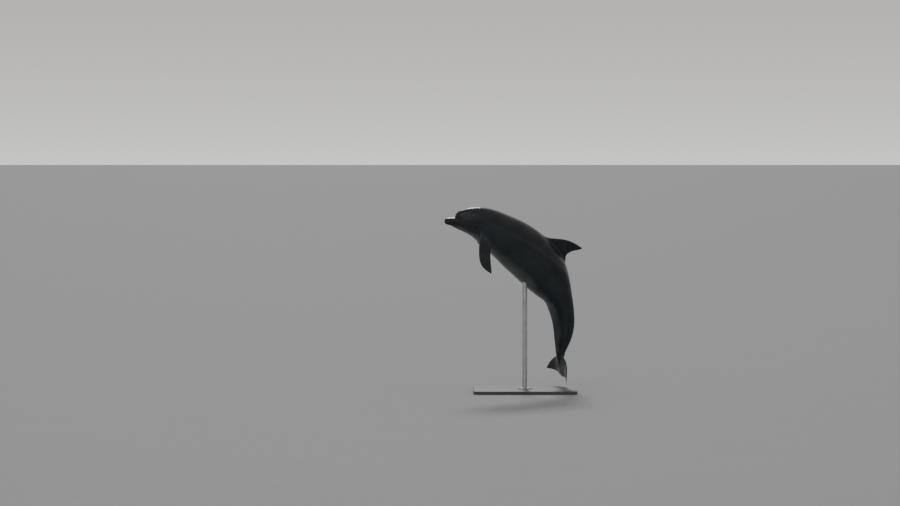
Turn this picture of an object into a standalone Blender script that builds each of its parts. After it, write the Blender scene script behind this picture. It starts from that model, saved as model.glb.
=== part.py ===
"""Bottlenose dolphin, leaping: a still, life-size model held over a flat base by one steel rod.

Metres, +Z up. The head points to -X and the animal's left side to -Y. The origin is the centre
of the base's underside.

The animal is worked out in its own frame, straight up and down in the XZ plane with the tip of the
beak at the origin, and an empty then rolls, turns and lifts it into the leap. Its body is a family
of rings strung along a bent spine. A place on it is told by two numbers: "along", the share of the
body length from the beak's tip (0) to the notch of the flukes (1), and "around", the angle from
the middle of the back (0) over the left side (90) to the belly (180).
"""

import math

import bmesh
import bpy
import numpy as np
from mathutils import Vector

# ---------------------------------------------------------------- driving dimensions

LENGTH = 3.0  # beak tip to fluke notch, along the spine
ROLL = math.radians(17.0)  # left side down
YAW = math.radians(12.0)  # head turned to the left side
BEAK_TIP = (-1.015, -0.360, 2.160)  # where the empty puts the tip of the beak
TAIL_TWIST = math.radians(8.0)  # flukes turned about the tail's own length
TAIL_SWING = math.radians(2.0)  # flukes swung sideways, the left lobe forward
GAP = 0.0003  # between pieces that touch

# Spine: its slope below the horizontal at the beak, then each smooth bend (from, to, degrees).
HEADING_AT_TIP = -1.5
BENDS = (
    (0.04, 0.26, 32.5),  # nape
    (0.22, 0.50, 15.0),  # back
    (0.46, 0.68, 21.5),  # loin
    (0.64, 0.90, 29.5),  # tail stock
    (0.88, 1.00, -14.0),  # flukes trailing
)

# Cranium and trunk: along, height above the spine, depth below it and half width, as shares of LENGTH.
TRUNK_STATIONS = (
    (0.040, 0.0350, 0.0262, 0.0140),
    (0.050, 0.0405, 0.0300, 0.0190),
    (0.075, 0.0485, 0.0402, 0.0297),
    (0.100, 0.0575, 0.0495, 0.0390),
    (0.130, 0.0656, 0.0614, 0.0467),
    (0.165, 0.0718, 0.0735, 0.0550),
    (0.200, 0.0757, 0.0824, 0.0627),
    (0.250, 0.0826, 0.0917, 0.0713),
    (0.310, 0.0924, 0.1024, 0.0787),
    (0.370, 0.0990, 0.1090, 0.0820),
    (0.430, 0.1003, 0.1088, 0.0820),
    (0.490, 0.0985, 0.1058, 0.0783),
    (0.550, 0.0894, 0.0978, 0.0697),
    (0.600, 0.0738, 0.0842, 0.0597),
    (0.650, 0.0613, 0.0628, 0.0477),
    (0.700, 0.0527, 0.0574, 0.0363),
    (0.750, 0.0473, 0.0528, 0.0280),
    (0.800, 0.0436, 0.0470, 0.0223),
    (0.850, 0.0356, 0.0388, 0.0180),
    (0.900, 0.0226, 0.0248, 0.0150),
    (0.930, 0.0158, 0.0164, 0.0132),
    (0.955, 0.0090, 0.0095, 0.0100),
    (0.975, 0.0034, 0.0036, 0.0060),
)
# Beak: the same, down into the throat and the cheeks.
BEAK_STATIONS = (
    (0.000, 0.0136, 0.0098, 0.0115),
    (0.013, 0.0147, 0.0128, 0.0138),
    (0.028, 0.0159, 0.0180, 0.0156),
    (0.050, 0.0170, 0.0305, 0.0188),
    (0.075, 0.0200, 0.0406, 0.0232),
    (0.100, 0.0220, 0.0502, 0.0270),
    (0.130, 0.0240, 0.0606, 0.0300),
    (0.160, 0.0240, 0.0675, 0.0300),
)
BEAK_POWER = 2.3  # squareness of the beak's oval: 2 is an ellipse
BEAK_TIP_ROUND = 0.013  # share of LENGTH over which the beak's tip rounds off
BEAK_TIP_POWER = 2.2  # fullness of that rounding
BEAK_ENDS = (0.11, 0.16)  # where the beak sinks into the head
MELON_FRONT = 0.0442  # where the forehead starts on top of the beak
MELON_ROUND = 0.030  # share of LENGTH over which the forehead rounds off
MELON_POWER = 3.4  # fullness of that rounding
CHEEK_SET_BACK = 0.016  # how much later the cheeks start than the forehead
CREASE_TOP = 0.007  # softness of the fold between beak and cranium: on top and below,
CREASE_SIDE = 0.026  # and at the cheeks
CREASE_ENDS = (0.12, 0.17)  # where the fold fades out
CREASE_THIN = 0.05  # the fold sharpens where the cranium is narrower than this
CHEEK_TOP, CHEEK_LOW = 0.40, (0.55, 0.85)  # the cheeks' limits, from 0 on the back to 1 on the belly
TRUNK_POWER, KEEL_POWER = 2.0, 1.75  # squareness of the rings of the trunk and of the tail stock
KEEL_STARTS = (0.62, 0.82)  # where the keels above and below the tail stock build up

# Mouth line: along, and height over the spine as a share of LENGTH.
MOUTH = (
    (-0.010, 0.0000),
    (0.000, 0.0000),
    (0.030, -0.0008),
    (0.060, -0.0055),
    (0.085, -0.0105),
    (0.100, -0.0118),
    (0.109, -0.0098),
)
JAW_HINGE_LEAN = 0.012  # how far back the jaw's rear cut leans, in share of LENGTH
JAW_BLOCK_HALF, JAW_BLOCK_DEPTH, JAW_BLOCK_REAR = 0.30, 0.40, 0.30  # the block that parts the jaw

EYE_ALONG = 0.131
EYE_AROUND = math.radians(93.5)
EYE_SIZE = (0.0190, 0.0120, 0.0150)  # half length, half depth, half height
EYE_SUNK = 0.0055  # how deep the eyeball's centre lies under the skin

BLOWHOLE_ALONG = 0.134
BLOWHOLE_RADIUS = 0.020
BLOWHOLE_GROOVE = 0.0045
BLOWHOLE_BOW = math.radians(78)  # half angle of the crescent
BLOWHOLE_HORN = 0.35  # width of the groove at its two horns
BLOWHOLE_DEEP = 1.4  # depth against width

# Fins. q runs from 0 at a fin's base to 1 at its tip. A rounding power tells how late its tip rounds off.
FIN_ALONG = 0.470  # station at the middle of the dorsal fin's base
FIN_FRONT, FIN_REAR = -0.200, 0.200  # ends of its base, from that station
FIN_SWEEP = 0.304  # how far back the leading edge runs evenly over the height
FIN_HOOK, FIN_HOOK_POWER = 0.156, 7  # further run of the leading edge at the tip, by a power of q
FIN_HOLLOW = (-0.130, 0.228)  # how far back the trailing edge moves, by q and by its square
FIN_FILLET, FIN_FILLET_REACH = 0.050, 0.10  # the trailing edge runs out along the back
FIN_TIP_POWER = 14
FIN_HEIGHT = 0.265
FIN_SUNK = 0.020  # base chord under the crown of the back
FIN_THICKNESS, FIN_THINNING = 0.125, 0.25  # share of the chord, and how much of it the tip loses
FIN_FOOT, FIN_FOOT_TOP = 0.05, 0.25  # thickening of the base, and how high it reaches
FIN_SECTIONS = (-0.24, 0.0, 0.06, 0.13, 0.25, 0.40, 0.55, 0.70, 0.82, 0.91, 0.965, 0.992)

FLIPPER_ALONG = 0.194
FLIPPER_AROUND = math.radians(125.0)
FLIPPER_LENGTH = 0.448
# Side, how far it is swept back, and how far it hangs below the animal's own horizontal.
FLIPPER_POSES = (("left", -1, 23.0, 56.0), ("right", 1, 45.0, 46.0))
FLIPPER_LEAD = (0.102, 0.112, -0.080)  # leading edge before the arm: at the base, by q and by its square
FLIPPER_SLANT, FLIPPER_SLANT_POWER = 0.122, 6  # how far the leading edge falls back to the tip
FLIPPER_TRAIL = (0.070, -0.148, 0.100)  # trailing edge behind the arm, in the same way
FLIPPER_TIP_POWER = 12
FLIPPER_BOW = 0.012  # how far the arm bows outwards, as q * (1 - q) of this
FLIPPER_THICKNESS, FLIPPER_THINNING = 0.165, 0.0525  # share of the chord, and what the tip loses
FLIPPER_SECTIONS = (-0.20, -0.08, 0.02, 0.12, 0.24, 0.38, 0.52, 0.66, 0.78, 0.88, 0.95, 0.985)

FLUKE_ALONG = 0.912  # where the leading edges leave the tail stock
FLUKE_HELD = 0.955  # station whose direction the lobes keep
FLUKE_CHORD = 0.312  # root chord
FLUKE_LEAD = ((0.60, 1), (0.18, 3), (0.18, 8))  # leading edge: shares of the chord with their powers of q
FLUKE_HALF_SPAN = 0.342
FLUKE_NOTCH, FLUKE_NOTCH_WIDTH = 0.026, 0.05
FLUKE_HOLLOW = 0.014  # the trailing edge bends in by this between notch and tip
FLUKE_TIP_POWER = 10
FLUKE_CURL = 0.058  # how far the tips bend towards the belly
FLUKE_ARCH = 0.022  # how far the middle of a lobe bows towards the back
FLUKE_THICKNESS, FLUKE_THINNING = 0.155, 0.45
FLUKE_SECTIONS = (0.0, 0.06, 0.13, 0.22, 0.34, 0.48, 0.62, 0.75, 0.86, 0.94, 0.985)

# Stand
BASE_SIZE = (1.30, 0.90, 0.040)
BASE_CORNER = 0.090
BASE_CORNER_STEPS = 8
BASE_BEVEL = 0.006
ROD_PLACE = (0.0, 0.0)
ROD_RADIUS = 0.030
ROD_TOP = 1.550  # inside the animal before the belly is cut out of it
ROD_CORNERS = 32
FLANGE_RADIUS, FLANGE_HEIGHT, FLANGE_BEVEL = 0.095, 0.014, 0.003
FLANGE_CORNERS = 40
BOLT_RING, BOLT_RADIUS, BOLT_HEIGHT, BOLT_BEVEL = 0.070, 0.011, 0.008, 0.002
BOLTS = 6
BOLT_CORNERS = 6

COLUMNS = 32  # corners of a body ring
FOIL_POINTS = 7  # points between a fin section's two edges, on each face
EDGE_HALF = 0.0012  # half thickness of a fin's trailing edge
# Half thickness of a wing section: factors of the root, the share and its powers 2, 3 and 4.
WING = (1.4845, -0.6300, -1.7580, 1.4215, -0.5180)
HEAD_ROWS = (
    (0.0004, 0.0015, 0.0035, 0.0065, 0.0105),
    np.linspace(0.016, 0.044, 5),
    np.linspace(0.0475, 0.0600, 6),
    np.linspace(0.066, 0.150, 9),
)
SHARP = math.radians(40)  # edges sharper than this are shaded as edges

# Body nodes and where each ends, with the number of rows in it.
BODY_NODES = (
    ("head", 0.150, 0),
    ("neck", 0.205, 4),
    ("chest", 0.330, 7),
    ("trunk", 0.455, 7),
    ("loin", 0.600, 8),
    ("tail_front", 0.750, 8),
    ("tail_stock", 0.975, 13),
)

SLATE = (0.030, 0.036, 0.042)
GREY = (0.075, 0.085, 0.092)
PALE = (0.330, 0.325, 0.315)
BLACK = (0.010, 0.009, 0.008)
STEEL = (0.560, 0.570, 0.580)
CHARCOAL = (0.055, 0.057, 0.060)


# ---------------------------------------------------------------- curves and rings


def smooth_step(t):
    t = np.clip(t, 0.0, 1.0)
    return t * t * (3.0 - 2.0 * t)


def through(x, stations, column):
    """Smooth curve through a column of the stations: cubic pieces whose slopes follow the neighbours."""
    table = np.asarray(stations, float)
    xs, ys = table[:, 0], table[:, column]
    width = np.diff(xs)
    slope = np.diff(ys) / width
    lean = np.empty_like(ys)
    lean[1:-1] = (slope[:-1] * width[1:] + slope[1:] * width[:-1]) / (width[1:] + width[:-1])
    lean[0], lean[-1] = slope[0], slope[-1]
    k = np.clip(np.searchsorted(xs, x, side="right") - 1, 0, len(xs) - 2)
    step = xs[k + 1] - xs[k]
    t = np.clip((x - xs[k]) / step, 0.0, 1.0)
    start = (1 + 2 * t) * (1 - t) ** 2 * ys[k] + t * (1 - t) ** 2 * step * lean[k]
    end = t * t * (3 - 2 * t) * ys[k + 1] + t * t * (t - 1) * step * lean[k + 1]
    return start + end


def heading(along):
    """Slope of the spine below the horizontal, in radians."""
    angle = np.full_like(along, HEADING_AT_TIP)
    for start, end, bend in BENDS:
        angle = angle + bend * smooth_step((along - start) / (end - start))
    return np.radians(angle)


def spine(along):
    """Points of the spine with its backward and upward directions there."""
    along = np.atleast_1d(np.asarray(along, float))
    fine = np.linspace(-0.02, 1.02, 521)
    slope = heading(fine)
    step = (fine[1] - fine[0]) * LENGTH
    x = np.concatenate([[0.0], np.cumsum(np.cos(slope[1:]) + np.cos(slope[:-1])) / 2]) * step
    z = -np.concatenate([[0.0], np.cumsum(np.sin(slope[1:]) + np.sin(slope[:-1])) / 2]) * step
    x, z = x - np.interp(0.0, fine, x), z - np.interp(0.0, fine, z)
    angle = heading(along)
    flat = np.zeros_like(along)
    point = np.stack([np.interp(along, fine, x), flat, np.interp(along, fine, z)], -1)
    back = np.stack([np.cos(angle), flat, -np.sin(angle)], -1)
    up = np.stack([np.sin(angle), flat, np.cos(angle)], -1)
    return point, back, up


def oval(around, above, below, half_width, power):
    """Distance from centre to rim of an oval with its own height above and below the middle."""
    reach = np.where(np.cos(around) >= 0, above, below)
    flat = np.abs(np.cos(around) / reach) ** power + np.abs(np.sin(around) / half_width) ** power
    return flat ** (-1.0 / power)


def rising(x, limits):
    """Smooth step from 0 at the first limit to 1 at the second."""
    return smooth_step((x - limits[0]) / (limits[1] - limits[0]))


def round_end(share, power):
    """How wide a rounded end is at this share of the way to its tip: 1 at 0, nought at 1."""
    return (1 - share**power) ** (1 / power)


def ring_radius(along, around):
    """Radius of the body at each along (rows) and around (columns): beak and cranium, softly joined."""
    a, b = along[:, None], around[None, :]
    side = (1 - np.cos(b)) / 2
    power = TRUNK_POWER + (KEEL_POWER - TRUNK_POWER) * rising(a, KEEL_STARTS)
    trunk = oval(b, *(through(a, TRUNK_STATIONS, k) * LENGTH for k in (1, 2, 3)), power)
    front = MELON_FRONT + CHEEK_SET_BACK * np.sin(b) ** 2
    nose = np.clip((front + MELON_ROUND - a) / MELON_ROUND, 0.0, 1.0)
    trunk = trunk * round_end(nose, MELON_POWER)
    beak = oval(b, *(through(a, BEAK_STATIONS, k) * LENGTH for k in (1, 2, 3)), BEAK_POWER)
    tip = np.clip(1 - a / BEAK_TIP_ROUND, 0.0, 1.0)
    beak = beak * round_end(tip, BEAK_TIP_POWER) * (1 - rising(a, BEAK_ENDS))
    cheek = smooth_step(side / CHEEK_TOP) * (1 - rising(side, CHEEK_LOW))
    soft = (CREASE_TOP + (CREASE_SIDE - CREASE_TOP) * cheek) * (1 - rising(a, CREASE_ENDS))
    soft = soft * np.minimum(trunk / CREASE_THIN, 1)
    return (trunk + beak + np.sqrt((trunk - beak) ** 2 + soft**2)) / 2


def surface(along, around, grow=0.0):
    """Points on the body at each along (rows) and around (columns)."""
    along = np.atleast_1d(np.asarray(along, float))
    around = np.atleast_1d(np.asarray(around, float))
    point, _, up = spine(along)
    radius = ring_radius(along, around) + grow
    out = point[:, None, :] + up[:, None, :] * (radius * np.cos(around))[..., None]
    out[..., 1] -= radius * np.sin(around)
    return out


def skin_frame(along, around):
    """A point of the skin with its backward, downward and outward directions."""
    step = 1e-4
    here = surface(along, around)[0, 0]
    back = surface(along + step, around)[0, 0] - here
    down = surface(along, around + step * 10)[0, 0] - here
    back /= np.linalg.norm(back)
    out = np.cross(down, back)
    out /= np.linalg.norm(out)
    return here, back, np.cross(back, out), out


def body_rows():
    """The rows of every body node, with the gap between neighbours."""
    half_gap = GAP / 2 / LENGTH
    rows, start = {}, 0.0
    for name, end, count in BODY_NODES:
        row = np.linspace(start, end, count + 1) if count else np.concatenate(HEAD_ROWS)
        if count:
            row[0] += half_gap
        if end < BODY_NODES[-1][1]:
            row[-1] -= half_gap
        rows[name], start = row, end
    return rows


# ---------------------------------------------------------------- making objects


def material(name, colour, roughness, metallic=0.0):
    made = bpy.data.materials.get(name) or bpy.data.materials.new(name)
    made.use_nodes = True
    shader = made.node_tree.nodes["Principled BSDF"]
    shader.inputs["Base Color"].default_value = (*colour, 1.0)
    shader.inputs["Roughness"].default_value = roughness
    shader.inputs["Metallic"].default_value = metallic
    return made


def object_of(name, points, faces, finish, parent=None):
    mesh = bpy.data.meshes.new(name)
    mesh.from_pydata([tuple(p) for p in points], [], faces)
    shape = bmesh.new()
    shape.from_mesh(mesh)
    bmesh.ops.recalc_face_normals(shape, faces=shape.faces)
    shape.to_mesh(mesh)
    shape.free()
    mesh.shade_smooth()
    mesh.set_sharp_from_angle(angle=SHARP)
    mesh.materials.append(finish)
    made = bpy.data.objects.new(name, mesh)
    bpy.context.scene.collection.objects.link(made)
    made.parent = parent
    return made


def loft(name, loops, finish, parent=None):
    """A closed solid through rings of equally many points, with a flat cap at each end."""
    loops = np.asarray(loops)
    rows, columns = loops.shape[:2]
    at = np.arange(rows * columns).reshape(rows, columns)
    nxt = np.roll(at, -1, axis=1)
    lower = np.stack([at[:-1], nxt[:-1], nxt[1:]], -1).reshape(-1, 3)
    upper = np.stack([at[:-1], nxt[1:], at[1:]], -1).reshape(-1, 3)
    faces = lower.tolist() + upper.tolist() + [at[0].tolist(), at[-1].tolist()]
    return object_of(name, loops.reshape(-1, 3), faces, finish, parent)


def as_cutter(made):
    made.hide_render = True
    made.display_type = "WIRE"
    return made


def boolean(made, operation, cutter):
    step = made.modifiers.new(f"{operation.lower()} {cutter.name}", "BOOLEAN")
    step.operation = operation
    step.solver = "EXACT"
    step.object = cutter
    return made


# ---------------------------------------------------------------- flesh


def make_body(parent, flesh):
    around = np.linspace(0, 2 * math.pi, COLUMNS, endpoint=False)
    rows = body_rows()
    nodes = {}
    for name, along in rows.items():
        nodes[name] = loft(name, surface(along, around), flesh, parent)
    whole = np.concatenate(list(rows.values()))
    whole[-1] += 2 * GAP / LENGTH
    cutter = as_cutter(loft("body_cutter", surface(whole, around, GAP), flesh, parent))
    return nodes, cutter


def jaw_block(name, lift, parent, finish):
    """A block under the mouth line: its top follows the line, its rear leans back to the throat."""
    table = np.asarray(MOUTH)
    along = np.linspace(table[0, 0], table[-1, 0], 19)
    height = through(along, MOUTH, 1) * LENGTH + lift
    point, _, up = spine(along + lift / LENGTH)
    top = point + up * height[:, None]
    low_rear, _, down = spine(table[-1, 0] + JAW_HINGE_LEAN + lift / LENGTH)
    rear = low_rear[0] - down[0] * JAW_BLOCK_REAR
    front = top[0] - np.array([0.0, 0.0, JAW_BLOCK_DEPTH])
    outline = np.concatenate([top, [rear], [front]])
    sides = [outline + np.array([0.0, y, 0.0]) for y in (-JAW_BLOCK_HALF, JAW_BLOCK_HALF)]
    return as_cutter(loft(name, sides, finish, parent))


def make_jaw(nodes, parent, throat):
    """The lower jaw is what lies under the mouth line, and the head is the rest."""
    head = nodes["head"]
    jaw = object_of("lower_jaw", *mesh_of(head), throat, parent)
    boolean(head, "DIFFERENCE", jaw_block("mouth_cutter", GAP / 2, parent, throat))
    boolean(jaw, "INTERSECT", jaw_block("jaw_keeper", -GAP / 2, parent, throat))
    return jaw


def mesh_of(made):
    points = [tuple(v.co) for v in made.data.vertices]
    return points, [list(p.vertices) for p in made.data.polygons]


def ball(name, frame, size, finish, parent, segments=14, rings=9):
    """An ellipsoid at frame = (centre, length, height and depth directions)."""
    centre, lengthwise, upward, outward = frame
    polar = np.linspace(0, math.pi, rings + 1)[1:-1]
    turn = np.linspace(0, 2 * math.pi, segments, endpoint=False)
    along = np.cos(polar)[:, None] * np.ones(segments)
    high = np.sin(polar)[:, None] * np.cos(turn)
    deep = np.sin(polar)[:, None] * np.sin(turn)
    grid = (
        centre
        + along[..., None] * size[0] * lengthwise
        + high[..., None] * size[2] * upward
        + deep[..., None] * size[1] * outward
    )
    ends = np.array([centre + size[0] * lengthwise, centre - size[0] * lengthwise])
    points = np.concatenate([grid.reshape(-1, 3), ends])
    at = np.arange(grid.shape[0] * segments).reshape(-1, segments)
    nxt = np.roll(at, -1, axis=1)
    faces = np.stack([at[:-1], nxt[:-1], nxt[1:], at[1:]], -1).reshape(-1, 4).tolist()
    first, last = len(points) - 2, len(points) - 1
    faces += [[a, b, first] for a, b in zip(nxt[0].tolist(), at[0].tolist())]
    faces += [[a, b, last] for a, b in zip(at[-1].tolist(), nxt[-1].tolist())]
    return object_of(name, points, faces, finish, parent)


def make_eyes(head, parent, finish):
    for name, around in (("eye_left", EYE_AROUND), ("eye_right", -EYE_AROUND)):
        skin, back, down, out = skin_frame(EYE_ALONG, around)
        frame = (skin - out * EYE_SUNK, back, down, out)
        ball(name, frame, EYE_SIZE, finish, parent)
        roomy = [half + GAP for half in EYE_SIZE]
        boolean(head, "DIFFERENCE", as_cutter(ball(f"{name}_socket", frame, roomy, finish, parent)))


def make_blowhole(head, parent, finish):
    """A crescent groove, open to the front, across the top of the head."""
    skin, back, down, out = skin_frame(BLOWHOLE_ALONG, 0.0)
    bow = np.linspace(-BLOWHOLE_BOW, BLOWHOLE_BOW, 11)
    turn = np.linspace(0, 2 * math.pi, 8, endpoint=False)
    loops = []
    for angle in bow:
        away = back * math.cos(angle) + down * math.sin(angle)
        centre = skin + away * BLOWHOLE_RADIUS - back * BLOWHOLE_RADIUS / 2
        thin = BLOWHOLE_GROOVE * (BLOWHOLE_HORN + (1 - BLOWHOLE_HORN) * math.cos(angle))
        wide, deep = np.cos(turn)[:, None], BLOWHOLE_DEEP * np.sin(turn)[:, None]
        loops.append(centre + thin * (wide * away + deep * out))
    boolean(head, "DIFFERENCE", as_cutter(loft("blowhole_cutter", loops, finish, parent)))


# ---------------------------------------------------------------- fins


def foil(front, rear, thickness, face):
    """A fin section from front to rear, as a loop: round leading edge, thin flat trailing edge."""
    share = (1 - np.cos(np.linspace(0, math.pi, FOIL_POINTS + 2))) / 2
    chord = np.linalg.norm(rear - front)
    terms = np.stack([np.sqrt(share), share, share**2, share**3, share**4])
    half = thickness * chord * (np.array(WING) @ terms) + EDGE_HALF * share
    middle = front + (rear - front) * share[:, None]
    upper = middle + face * half[:, None]
    lower = middle - face * half[:, None]
    return np.concatenate([upper, lower[:0:-1]])


def tip_round(q, power):
    """How much of the chord is left at q: all of it until near the tip, nought at the tip."""
    return math.sqrt(1 - max(q, 0.0) ** power)


def make_dorsal_fin(body_cutter, parent, flesh):
    """A hooked fin: the leading edge sweeps back evenly and hooks over at the tip."""
    point, back, up = (v[0] for v in spine(FIN_ALONG))
    crown = point + up * (through(np.array([FIN_ALONG]), TRUNK_STATIONS, 1)[0] * LENGTH - FIN_SUNK)
    face = np.array([0.0, 1.0, 0.0])
    loops = []
    for q in FIN_SECTIONS:
        front = FIN_FRONT + FIN_SWEEP * q + FIN_HOOK * max(q, 0.0) ** FIN_HOOK_POWER
        rear = FIN_REAR + FIN_HOLLOW[0] * q + FIN_HOLLOW[1] * q * q
        rear += FIN_FILLET * math.exp(-((q / FIN_FILLET_REACH) ** 2))
        rear = front + (rear - front) * tip_round(q, FIN_TIP_POWER)
        base = crown + up * FIN_HEIGHT * q
        thickness = FIN_THICKNESS * (1.0 - FIN_THINNING * q) + FIN_FOOT * max(0.0, FIN_FOOT_TOP - q)
        loops.append(foil(base + back * front, base + back * rear, thickness, face))
    fin = loft("dorsal_fin", loops, flesh, parent)
    boolean(fin, "DIFFERENCE", body_cutter)


def make_flipper(word, side, sweep, droop, body_cutter, parent, flesh):
    """A swept paddle. The blade holds the body's length and its own: side is -1 left, 1 right."""
    sweep, droop = math.radians(sweep), math.radians(droop)
    around = FLIPPER_AROUND if side < 0 else -FLIPPER_AROUND
    root, _, _, _ = skin_frame(FLIPPER_ALONG, around)
    _, back, up = (v[0] for v in spine(FLIPPER_ALONG))
    outward = np.array([0.0, float(side), 0.0]) * math.cos(droop) - up * math.sin(droop)
    arm = outward * math.cos(sweep) + back * math.sin(sweep)
    chordwise = back * math.cos(sweep) - outward * math.sin(sweep)
    face = np.cross(arm, chordwise)
    loops = []
    for q in FLIPPER_SECTIONS:
        powers = np.array([1.0, q, q * q])
        lead = powers @ FLIPPER_LEAD - FLIPPER_SLANT * max(q, 0.0) ** FLIPPER_SLANT_POWER
        trail = powers @ FLIPPER_TRAIL
        left = tip_round(q, FLIPPER_TIP_POWER)
        centre = root + arm * FLIPPER_LENGTH * q + outward * FLIPPER_BOW * q * (1 - q)
        front, rear = centre - chordwise * lead * left, centre + chordwise * trail * left
        loops.append(foil(front, rear, FLIPPER_THICKNESS - FLIPPER_THINNING * q, face))
    flipper = loft(f"flipper_{word}", loops, flesh, parent)
    boolean(flipper, "DIFFERENCE", body_cutter)


def make_fluke(name, side, body_cutter, parent, flesh):
    """One lobe of the tail: a swept wing from the tail's middle, its tip bent towards the belly."""
    _, straight, up = (v[0] for v in spine(FLUKE_HELD))
    root = spine(FLUKE_ALONG)[0][0]
    sideways = np.array([0.0, float(side), 0.0])
    turn = TAIL_TWIST * side
    spread = sideways * math.cos(turn) - up * math.sin(turn)
    face = up * math.cos(turn) + sideways * math.sin(turn)
    swing = TAIL_SWING * side
    spread, straight = (
        spread * math.cos(swing) + straight * math.sin(swing),
        straight * math.cos(swing) - spread * math.sin(swing),
    )
    loops = []
    for q in FLUKE_SECTIONS:
        hollow = FLUKE_HOLLOW * math.sin(math.pi * q)
        notch = FLUKE_NOTCH * math.exp(-((q / FLUKE_NOTCH_WIDTH) ** 2))
        trail = FLUKE_CHORD - notch - hollow
        lead = FLUKE_CHORD * sum(share * q**power for share, power in FLUKE_LEAD)
        lead = trail - (trail - lead) * tip_round(q, FLUKE_TIP_POWER)
        bow = FLUKE_ARCH * math.sin(math.pi * q) - FLUKE_CURL * q * q
        base = root + spread * (FLUKE_HALF_SPAN * q + GAP / 2) + face * bow
        thickness = FLUKE_THICKNESS * (1 - FLUKE_THINNING * q)
        loops.append(foil(base + straight * lead, base + straight * trail, thickness, face))
    fluke = loft(name, loops, flesh, parent)
    boolean(fluke, "DIFFERENCE", body_cutter)


# ---------------------------------------------------------------- stand


def turned(name, centre, profile, corners, finish):
    """A turned piece: profile is (radius, height) pairs from the bottom up."""
    turn = np.linspace(0, 2 * math.pi, corners, endpoint=False)
    loops = []
    for radius, height in profile:
        flat = np.full(corners, height)
        ring = np.column_stack([radius * np.cos(turn), radius * np.sin(turn), flat])
        loops.append(ring + (*centre, 0.0))
    return loft(name, loops, finish)


def make_base(finish):
    """A plate with round corners and a small bevel along its upper edge."""
    quarter = np.linspace(0, math.pi / 2, BASE_CORNER_STEPS + 1)
    turn = np.concatenate([quarter + k * math.pi / 2 for k in range(4)])
    round_part = np.column_stack([np.cos(turn), np.sin(turn)])
    middle = np.array(BASE_SIZE[:2]) / 2 - BASE_CORNER
    signs = np.repeat([(1, 1), (-1, 1), (-1, -1), (1, -1)], len(quarter), axis=0)
    loops = []
    for inset, height in ((0, 0), (0, BASE_SIZE[2] - BASE_BEVEL), (BASE_BEVEL, BASE_SIZE[2])):
        outline = round_part * (BASE_CORNER - inset) + middle * signs
        loops.append(np.column_stack([outline, np.full(len(outline), height)]))
    return loft("stand_base", loops, finish)


def bevelled(radius, low, high, bevel):
    """Profile of a low disc with a bevelled upper edge."""
    return ((radius, low), (radius, high - bevel), (radius - bevel, high))


def make_stand(body_cutter, plate, steel):
    make_base(plate)
    top = BASE_SIZE[2] + GAP
    flange_top = top + FLANGE_HEIGHT
    flange = bevelled(FLANGE_RADIUS, top, flange_top, FLANGE_BEVEL)
    turned("stand_flange", ROD_PLACE, flange, FLANGE_CORNERS, steel)
    foot = flange_top + GAP
    rod = turned("stand_rod", ROD_PLACE, ((ROD_RADIUS, foot), (ROD_RADIUS, ROD_TOP)), ROD_CORNERS, steel)
    boolean(rod, "DIFFERENCE", body_cutter)
    bolt = bevelled(BOLT_RADIUS, foot, foot + BOLT_HEIGHT, BOLT_BEVEL)
    for k in range(BOLTS):
        angle = 2 * math.pi * (k + 0.5) / BOLTS
        place = np.array(ROD_PLACE) + BOLT_RING * np.array([math.cos(angle), math.sin(angle)])
        turned(f"stand_bolt_{k + 1}", place, bolt, BOLT_CORNERS, steel)


# ---------------------------------------------------------------- the whole


def main():
    for old in list(bpy.data.objects):
        bpy.data.objects.remove(old)
    back = material("back_skin", SLATE, 0.30)
    flank = material("flank_skin", GREY, 0.32)
    throat = material("throat_skin", PALE, 0.35)
    eye = material("eye", BLACK, 0.05)
    steel = material("steel", STEEL, 0.30, 1.0)
    plate = material("plate_paint", CHARCOAL, 0.55)

    animal = bpy.data.objects.new("dolphin", None)
    bpy.context.scene.collection.objects.link(animal)
    animal.location = Vector(BEAK_TIP)
    animal.rotation_euler = (ROLL, 0.0, YAW)

    nodes, body_cutter = make_body(animal, flank)
    make_jaw(nodes, animal, throat)
    make_eyes(nodes["head"], animal, eye)
    make_blowhole(nodes["head"], animal, back)
    make_dorsal_fin(body_cutter, animal, back)
    for word, side, sweep, droop in FLIPPER_POSES:
        make_flipper(word, side, sweep, droop, body_cutter, animal, back)
        make_fluke(f"fluke_{word}", side, body_cutter, animal, back)
    make_stand(body_cutter, plate, steel)


main()
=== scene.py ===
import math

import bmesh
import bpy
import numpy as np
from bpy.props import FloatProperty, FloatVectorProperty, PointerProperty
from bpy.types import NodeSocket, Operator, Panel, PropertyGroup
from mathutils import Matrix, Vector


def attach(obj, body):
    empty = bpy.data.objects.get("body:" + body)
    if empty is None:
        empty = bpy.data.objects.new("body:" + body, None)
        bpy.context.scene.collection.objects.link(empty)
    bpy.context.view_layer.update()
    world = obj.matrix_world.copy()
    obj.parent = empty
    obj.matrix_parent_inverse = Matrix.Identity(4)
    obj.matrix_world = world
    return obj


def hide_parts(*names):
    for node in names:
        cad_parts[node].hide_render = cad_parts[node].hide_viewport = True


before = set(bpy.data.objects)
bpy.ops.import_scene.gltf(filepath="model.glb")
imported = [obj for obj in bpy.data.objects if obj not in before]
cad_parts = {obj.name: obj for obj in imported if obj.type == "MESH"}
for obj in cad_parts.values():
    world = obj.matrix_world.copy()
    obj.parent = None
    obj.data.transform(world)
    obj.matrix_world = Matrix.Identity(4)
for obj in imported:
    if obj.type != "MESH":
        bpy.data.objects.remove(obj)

# Looks of the leaping bottlenose dolphin: its skin, its eyes, the stand's finishes and the stage.
#
# The skin is one closed surface. It is worked out in the animal's own frame, beak tip at the origin,
# tail towards +X, back up, and is then rolled, turned and lifted into the leap. A place on the body is
# told by "along", the share of the length from the beak's tip to the notch of the flukes, and
# "around", the angle from the middle of the back over the left side to the belly.

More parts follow.
